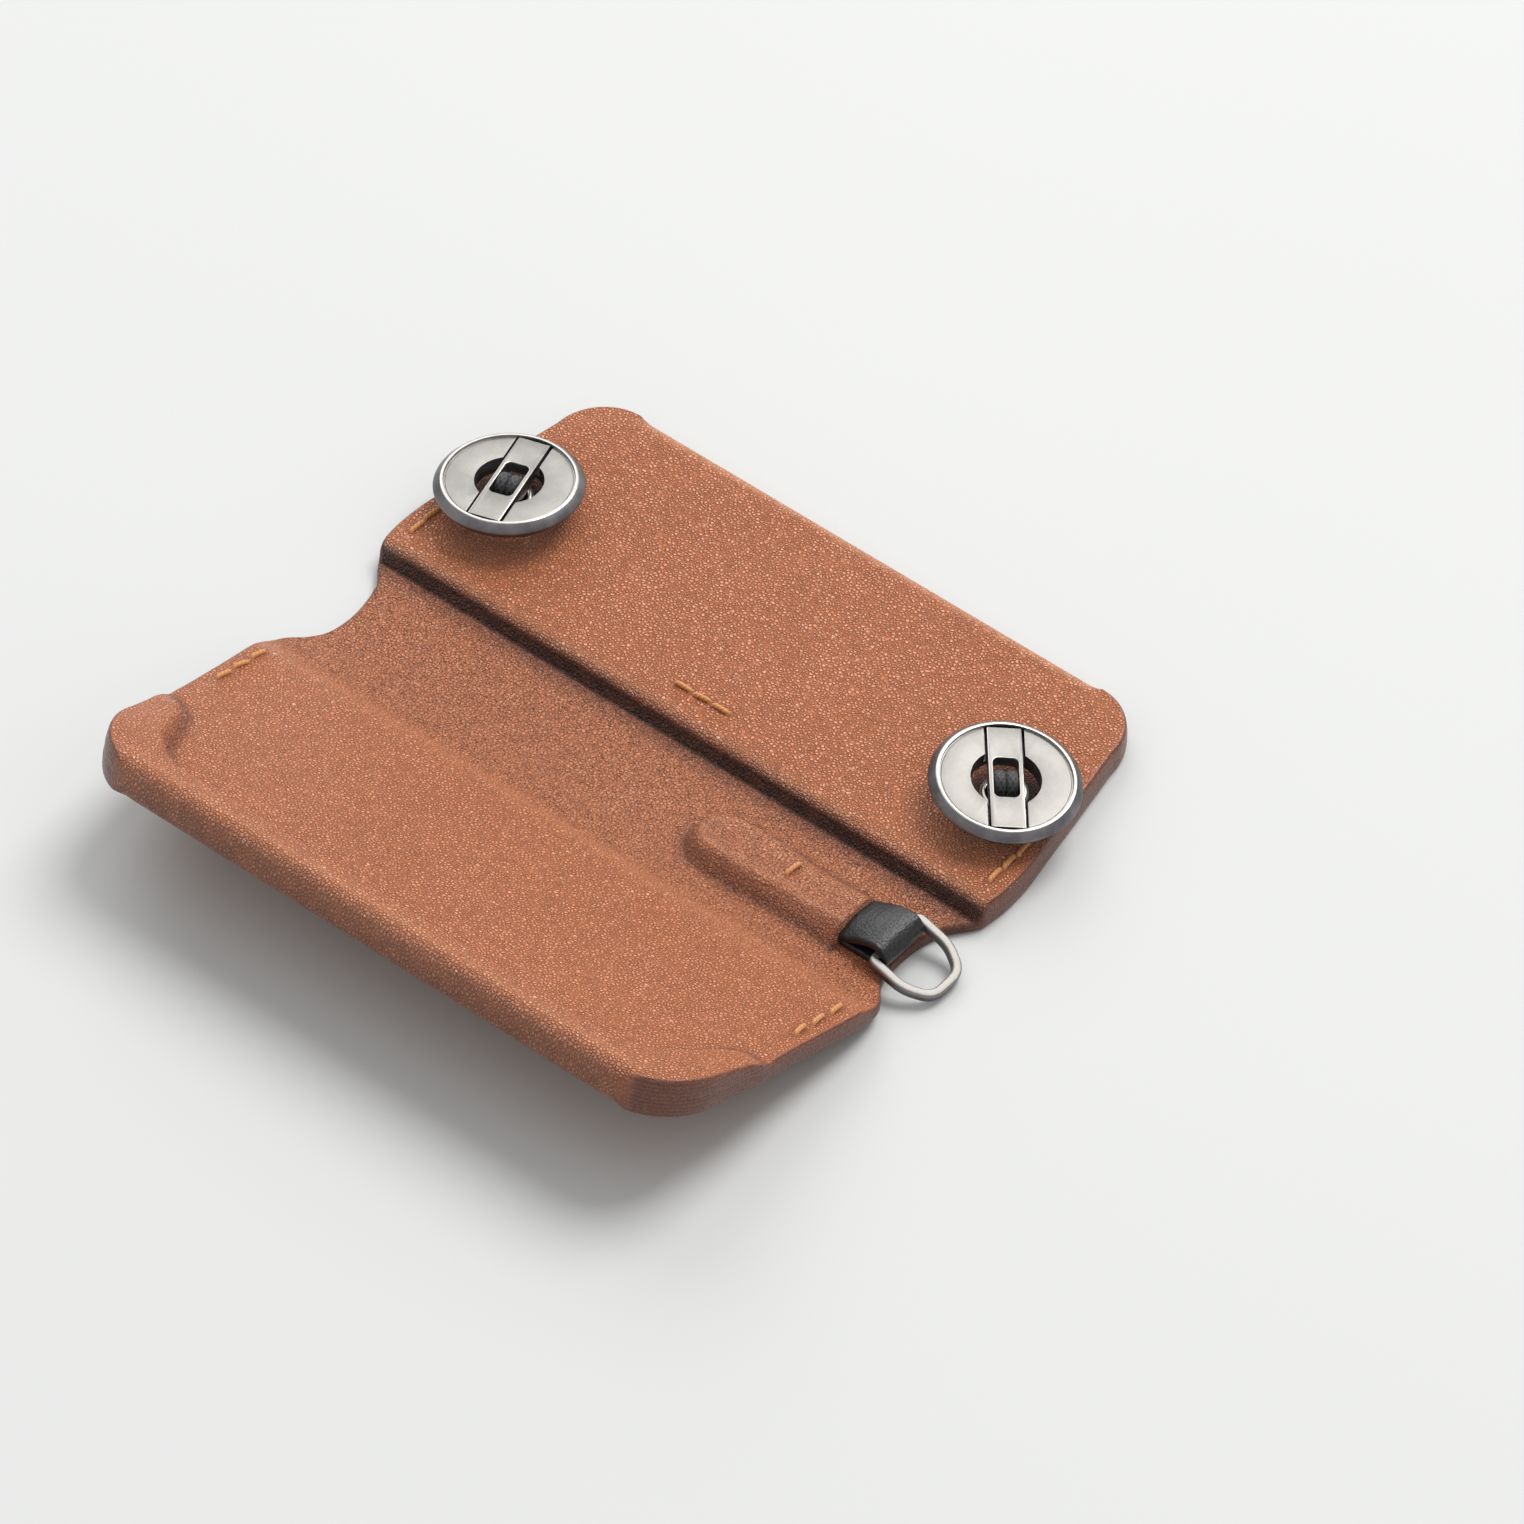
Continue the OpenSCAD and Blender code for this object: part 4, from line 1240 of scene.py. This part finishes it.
class KEYCOVER_OT_toggles(bpy.types.Operator):
    """Cut the two toggle bars with their windows"""

    bl_idname = "keycover.toggles"
    bl_label = "Toggles"

    def execute(self, context):
        m, colours = context.scene.key_cover_metal, context.scene.key_cover_colours
        l, w = m.toggle_length / MM / 2, m.toggle_width / MM / 2
        low, high, bevel = 0.76, m.disc_thickness / MM - 0.12, m.bevel / MM
        reach = m.disc_across / MM / 2 - 1.48
        span = math.asin(w / reach)
        right = [(reach * math.cos(a), reach * math.sin(a)) for a in np.linspace(-span, span, 9)]
        right = [(min(x, l - 0.32), y) for x, y in right]
        bar = prism(right + [(-x, -y) for x, y in right], low, high)
        ears = prism([(-1.25, -w), (1.25, -w), (1.25, w), (-1.25, w)], 0.38, 1.2)
        window = prism(rounded_box(m.window_length / MM / 2, m.window_width / MM / 2, 0.75), -1, 5)
        tools = [("UNION", *ears), ("DIFFERENCE", *window)]
        for side, name in SIDES:
            mesh = carved(f"toggle_{name}", bar, tools, bevel)
            mesh.transform(Matrix.Scale(MM, 4))
            for make in (satin_nickel, bright_nickel, shaded_metal):
                mesh.materials.append(make(colours))
            # The toggle's sides, window walls and ears get the darker metal: painted shade.
            for p in mesh.polygons:
                if p.center.z / MM < high - 0.3 and p.normal.z < 0.5:
                    p.material_index = 2
                elif 0.15 < p.normal.z < 0.96 and p.center.z / MM > high - 0.25:
                    p.material_index = 1
            mesh.transform(scaled(disc_place(context.scene, side)))
            obj = placed(f"key_toggle_{name}", mesh, 30)
            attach(obj, f"toggle_{name}")
            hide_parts(f"toggle_{name}")
        return {"FINISHED"}


def braid(path, width, thick, across):
    """A flat braided strand along a path: plies crossing both ways."""
    path = np.array(path, float)
    run = np.concatenate([[0], np.cumsum(np.linalg.norm(np.diff(path, axis=0), axis=1))])
    turn = np.linspace(0, 2 * math.pi, 56, endpoint=False)
    one = np.sin(7 * turn[None] + 7.6 * run[:, None])
    two = np.sin(7 * turn[None] - 7.6 * run[:, None])
    over = np.maximum(one, two)
    size = 1 + 0.075 * (over - 0.4)
    section = np.stack([
        size * width / 2 * np.sign(np.cos(turn)) * np.abs(np.cos(turn)) ** 0.8,
        size * thick / 2 * np.sign(np.sin(turn)) * np.abs(np.sin(turn)) ** 0.8,
    ], -1)
    tangent = np.gradient(path, axis=0)
    tangent /= np.linalg.norm(tangent, axis=1)[:, None]
    across = np.asarray(across, float)
    normal = np.cross(tangent, across)
    normal /= np.linalg.norm(normal, axis=1)[:, None]
    side = np.cross(normal, tangent)
    points = (
        path[:, None]
        + side[:, None] * section[..., 0, None]
        + normal[:, None] * section[..., 1, None]
    ).reshape(-1, 3)
    n, k = len(path), len(turn)
    faces = [
        (a * k + j, (a + 1) * k + j, (a + 1) * k + (j + 1) % k, a * k + (j + 1) % k)
        for a in range(n - 1) for j in range(k)
    ]
    faces += [tuple(range(k)), tuple(reversed(range((n - 1) * k, n * k)))]
    return points, faces, ((over + 1) / 2).ravel()


class KEYCOVER_OT_elastic(bpy.types.Operator):
    """Braid the elastic loops that hold the discs down on the posts"""

    bl_idname = "keycover.elastic"
    bl_label = "Elastic"

    def execute(self, context):
        m, colours = context.scene.key_cover_metal, context.scene.key_cover_colours
        width, thick = m.cord_width / MM, m.cord_thickness / MM
        lift, reach = 1.0, 1.22
        for side, name in SIDES:
            place = disc_place(context.scene, side)
            post = np.array([side * m.post_x / MM, m.post_y / MM, 0])
            turn = m.left_turn if side < 0 else m.right_turn
            flat = np.array(Matrix.Rotation(turn, 4, "Z"))[:3, :3]
            loops, legs = [], []
            for row in (-1, 1):
                y = row * (width / 2 + 0.03)
                arc = np.linspace(0, math.pi, 44)
                over = np.stack(
                    [reach * np.cos(arc), np.full(arc.shape, y), lift + reach * np.sin(arc)], -1)
                rise = np.linspace(0, lift, 8)[:-1]
                up = [(reach, y, z) for z in rise]
                down = [(-reach, y, z) for z in rise[::-1]]
                path = moved(np.concatenate([up, over, down]), place)
                loops.append(braid(path, width, thick, np.array(place)[:3, 1]))
                for way in (-1, 1):
                    foot = post + flat @ np.array([way * 1.15, y * 0.8, 2.25])
                    head = moved([(way * reach, y, 0.0)], place)[0]
                    path = foot + (head - foot) * np.linspace(0, 1, 30)[:, None]
                    legs.append(braid(path, width * 0.98, thick * 0.98, flat[:, 1]))
            pieces = (
                ("elastic_loops", loops, f"disc_{name}", f"toggle_{name}",
                 (0, 0, 0.1), (0, 0, 0.9)),
                ("elastic_legs", legs, f"loop_{name}", f"disc_{name}", None, None),
            )
            for label, parts, first, second, start, end in pieces:
                points, faces, yarn, count = [], [], [], 0
                for p, f, v in parts:
                    faces += [tuple(i + count for i in face) for face in f]
                    points.append(p)
                    yarn.append(v)
                    count += len(p)
                obj = piece(
                    f"{label}_{name}", np.concatenate(points), faces, [braided_elastic(colours)],
                    {"yarn": np.concatenate(yarn)}, sharp=60,
                )
                if start:
                    start, end = (Vector(moved([p], place)[0]) * MM for p in (start, end))
                else:
                    start = Vector(post * MM) + Vector((0, 0, 0.0023))
                    end = Vector(post * MM) + Vector((0, 0, 0.0067))
                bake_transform(obj)
                if label == "elastic_legs":
                    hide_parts(f"elastic_{name}")
        return {"FINISHED"}


class KEYCOVER_OT_strap(bpy.types.Operator):
    """Fold the black strap round the ring's bar"""

    bl_idname = "keycover.strap"
    bl_label = "Strap"

    def execute(self, context):
        s = context.scene.key_cover_strap
        half, thick = s.strap_width / MM / 2, s.strap_thickness / MM
        x, z = s.ring_x / MM, s.ring_z / MM
        mid = 0.83 + thick / 2
        over, reach, back = 1.66, 1.75, 0.42
        low, high = 2.05 + thick / 2, 2.05 + 1.5 * thick
        upper = [(x - 9, high - 0.3), (x - 7, high - 0.05), (x - 6, high + 0.42),
                 (x - 5, high + 0.98),
                 (x - 3.8, high + 1.40), (x - 2.4, z + over)]
        turn = np.radians(np.linspace(84, -97, 30))
        bend = [
            (x - back + reach * math.cos(a), z + (over if a > 0 else mid) * math.sin(a))
            for a in turn
        ]
        lower = [(x - 1.6, z - mid + 0.06), (x - 3.2, low), (x - 5, low), (x - 9, low)]
        rough = np.array(upper + bend + lower)
        along = np.concatenate([[0], np.cumsum(np.linalg.norm(np.diff(rough, axis=0), axis=1))])
        at = np.linspace(0, along[-1], 150)
        path = np.stack([np.interp(at, along, rough[:, 0]), np.interp(at, along, rough[:, 1])], -1)
        for _ in range(40):
            path[1:-1] = (path[:-2] + 2 * path[1:-1] + path[2:]) / 4
        run = np.gradient(path, axis=0)
        run /= np.linalg.norm(run, axis=1)[:, None]
        up = np.stack([-run[:, 1], run[:, 0]], -1)
        v = stations(0, half, 0.5, [(half, 0.35, 0.06)])
        v = np.concatenate([-v[:0:-1], v])
        edge = roundover(half - np.abs(v), 0.38)
        loop = bell(path[:, 0], x, 3.4)
        crown = 0.10 * loop[:, None] * (1 - (v[None] / half) ** 2)
        narrow = 1 - 0.12 * smooth(x - 6.6, x - 8, path[:, 0])
        upper_half = smooth(x + mid, x - 1, path[:, 0]) * (np.arange(len(path)) < 75)
        drop = upper_half * smooth(x + 1, x - 5, path[:, 0])
        sag = 0.85 * (v[None] / half) ** 2 * drop[:, None]
        y = -s.strap_y / MM + v[None] * narrow[:, None]
        faces_of = []
        for sign in (1, -1):
            offset = sign * (thick / 2 - edge)[None] + (crown if sign > 0 else 0)
            faces_of.append(np.stack([
                path[:, 0, None] + up[:, 0, None] * offset, y,
                path[:, 1, None] + up[:, 1, None] * offset - sag,
            ], -1))
        blank = {"wear": np.zeros(faces_of[0].shape[:2])}
        points, faces, _ = leaf(faces_of[0], faces_of[1], blank, blank, flip=True, steps=4)
        obj = piece("strap_loop", points, faces, [strap_leather(context.scene.key_cover_colours)])
        repaired(obj)
        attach(obj, "spine")
        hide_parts("ring_strap")
        return {"FINISHED"}


def repaired(obj):
    """Faces turned to point outwards."""
    bm = bmesh.new()
    bm.from_mesh(obj.data)
    bmesh.ops.recalc_face_normals(bm, faces=bm.faces)
    bm.to_mesh(obj.data)
    bm.free()


class KEYCOVER_OT_ring(bpy.types.Operator):
    """Bend the D-ring"""

    bl_idname = "keycover.ring"
    bl_label = "Ring"

    def execute(self, context):
        s, colours = context.scene.key_cover_strap, context.scene.key_cover_colours
        side, wire = s.ring_side / MM, s.ring_wire / MM
        w, t = s.ring_half / MM - side / 2, s.ring_reach / MM - side / 2
        corners = [(-0.05, w), (5.2, w), (t, 2.7), (t, -2.7), (5.2, -w), (-0.05, -w)]
        radii = [0.55, 1.5, 1.7, 1.7, 1.5, 0.55]
        path = []
        for i, (here, radius) in enumerate(zip(corners, radii)):
            here = np.array(here)
            before, after = corners[i - 1] - here, corners[(i + 1) % 6] - here
            a = here + before / np.linalg.norm(before) * radius
            b = here + after / np.linalg.norm(after) * radius
            u = np.linspace(0, 1, 16)[:, None]
            path.append((1 - u) ** 2 * a + 2 * u * (1 - u) * here + u * u * b)
        path = np.concatenate(path)
        closed = np.concatenate([path, path[:1]])
        along = np.concatenate([[0], np.cumsum(np.linalg.norm(np.diff(closed, axis=0), axis=1))])
        at = np.linspace(0, along[-1], 221)[:-1]
        flat = np.stack([np.interp(at, along, closed[:, k]) for k in (0, 1)], -1)
        for _ in range(4):
            flat = (np.roll(flat, 1, 0) + 2 * flat + np.roll(flat, -1, 0)) / 4
        section = eased(
            [(-side / 2, -wire / 2), (side / 2, -wire / 2), (side / 2, wire / 2),
             (-side / 2, wire / 2)],
            0.34, 4,
        )
        grow = 1 - 0.14 * smooth(1.3, 0.3, flat[:, 0]) * smooth(w, w - 0.6, np.abs(flat[:, 1]))
        points, faces = swept(np.column_stack([flat, 0 * at]), section, closed=True, grow=grow)
        place = (
            Matrix.Translation((s.ring_x / MM, -s.strap_y / MM, s.ring_z / MM))
            @ Matrix.Rotation(s.ring_slope, 4, "Y")
        )
        # The ring's upper side keeps the nickel; its sides and underside get the darker metal:
        # painted shade.
        shares = []
        for i, f in enumerate(faces):
            high = np.mean([points[k][2] for k in f])
            shares.append(0 if high > wire * 0.30 else 1)
        obj = piece(
            "strap_ring", moved(points, place), faces,
            [satin_nickel(colours), shaded_metal(colours)], shares=shares, sharp=50,
        )
        repaired(obj)
        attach(obj, "ring")
        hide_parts("d_ring")
        return {"FINISHED"}


class KEYCOVER_OT_inner_parts(bpy.types.Operator):
    """Finish the parts inside the cover: boards, keeper, magnets, crimps and pins"""

    bl_idname = "keycover.inner_parts"
    bl_label = "Inner parts"

    def execute(self, context):
        colours = context.scene.key_cover_colours
        finishes = {
            "back_stiffener": fibre_board, "flap_stiffener": fibre_board,
            "back_keeper": keeper_plate, "flap_magnets": magnet_plate,
            "ferrule_left": post_nickel, "ferrule_right": post_nickel,
            "toggle_pin_left": satin_nickel, "toggle_pin_right": satin_nickel,
        }
        for name, make in finishes.items():
            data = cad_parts[name].data
            if not data.materials:
                data.materials.append(None)
            for i in range(len(data.materials)):
                data.materials[i] = make(colours)
        return {"FINISHED"}


class KEYCOVER_OT_stage(bpy.types.Operator):
    """Lay the pale floor and set the soft lights and the camera"""

    bl_idname = "keycover.stage"
    bl_label = "Stage"

    def execute(self, context):
        s, scene = context.scene.key_cover_studio, context.scene
        bm = bmesh.new()
        bmesh.ops.create_grid(bm, x_segments=24, y_segments=24, size=3.0)
        mesh = bpy.data.meshes.new("studio_floor")
        bm.to_mesh(mesh)
        bm.free()
        mesh.materials.append(pale_floor(scene.key_cover_colours))
        floor = bpy.data.objects.new("studio_floor", mesh)
        scene.collection.objects.link(floor)
        floor.location.z = -0.00002

        right = Vector((math.cos(s.heading), math.sin(s.heading), 0))
        ahead = Vector((-math.sin(s.heading), math.cos(s.heading), 0))
        aim = Vector((s.aim_x, s.aim_y, 0))
        look = ahead * math.cos(s.elevation) - Vector((0, 0, math.sin(s.elevation)))
        camera = bpy.data.objects.new("camera", bpy.data.cameras.new("camera"))
        camera.data.sensor_width, camera.data.lens = 36, s.lens
        camera.data.clip_end = 20
        camera.location = aim - look * s.distance
        camera.rotation_euler = look.to_track_quat("-Z", "Y").to_euler()
        scene.collection.objects.link(camera)
        scene.camera = camera

        def panel(name, place, size, power, tint=(1, 1, 1)):
            light = bpy.data.lights.new(name, "AREA")
            light.shape, light.size, light.energy, light.color = "DISK", size, power, tint
            obj = bpy.data.objects.new(name, light)
            obj.location = place
            obj.rotation_euler = (aim - Vector(place)).to_track_quat("-Z", "Y").to_euler()
            scene.collection.objects.link(obj)

        up = Vector((0, 0, 1))
        key_place = ahead + right + up * 2.1
        panel("key_light", key_place, 1.45, s.key_power, (1, 0.985, 0.965))
        fill_place = ahead * 2.1 - right * 0.48 + up * 1.6
        panel("fill_light", fill_place, 1.9, s.fill_power, (0.97, 0.985, 1))
        world = bpy.data.worlds.new("soft_sky")
        world.use_nodes = True
        tree = world.node_tree
        back = tree.nodes["Background"]
        back.inputs["Strength"].default_value = s.sky
        way = node(tree, "ShaderNodeTexCoord").outputs["Generated"]
        height = node(tree, "ShaderNodeSeparateXYZ", {"Vector": way})
        shade = node(
            tree, "ShaderNodeMapRange",
            {"Value": height.outputs["Z"], "From Min": -0.1, "From Max": 0.9,
             "To Min": 0.62, "To Max": 1.1},
        )
        tree.links.new(shade.outputs["Result"], back.inputs["Color"])
        scene.world = world
        scene.view_settings.view_transform = "Standard"
        return {"FINISHED"}


OPERATORS = (
    KEYCOVER_OT_back_leaf, KEYCOVER_OT_flap_leaf, KEYCOVER_OT_stitches, KEYCOVER_OT_posts,
    KEYCOVER_OT_discs, KEYCOVER_OT_toggles, KEYCOVER_OT_elastic, KEYCOVER_OT_strap,
    KEYCOVER_OT_ring, KEYCOVER_OT_inner_parts, KEYCOVER_OT_stage,
)


class KEYCOVER_PT_panel(bpy.types.Panel):
    """The key organiser's pieces, sizes and colours"""

    bl_idname = "KEYCOVER_PT_panel"
    bl_label = "Key organiser"
    bl_space_type = "VIEW_3D"
    bl_region_type = "UI"
    bl_category = "Key organiser"

    def draw(self, context):
        for operator in OPERATORS:
            self.layout.operator(operator.bl_idname)
        for name, group in GROUPS.items():
            box = self.layout.box()
            box.label(text=group.__doc__)
            for key in group.__annotations__:
                box.prop(getattr(context.scene, name), key)


def register():
    for each in (*GROUPS.values(), *OPERATORS, KEYCOVER_PT_panel):
        bpy.utils.register_class(each)
    for name, group in GROUPS.items():
        setattr(bpy.types.Scene, name, PointerProperty(type=group))


def unregister():
    for name in GROUPS:
        delattr(bpy.types.Scene, name)
    for each in reversed((*GROUPS.values(), *OPERATORS, KEYCOVER_PT_panel)):
        bpy.utils.unregister_class(each)


def main():
    register()
    for operator in OPERATORS:
        group, name = operator.bl_idname.split(".")
        getattr(getattr(bpy.ops, group), name)()
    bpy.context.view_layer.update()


if __name__ == "__main__":
    main()
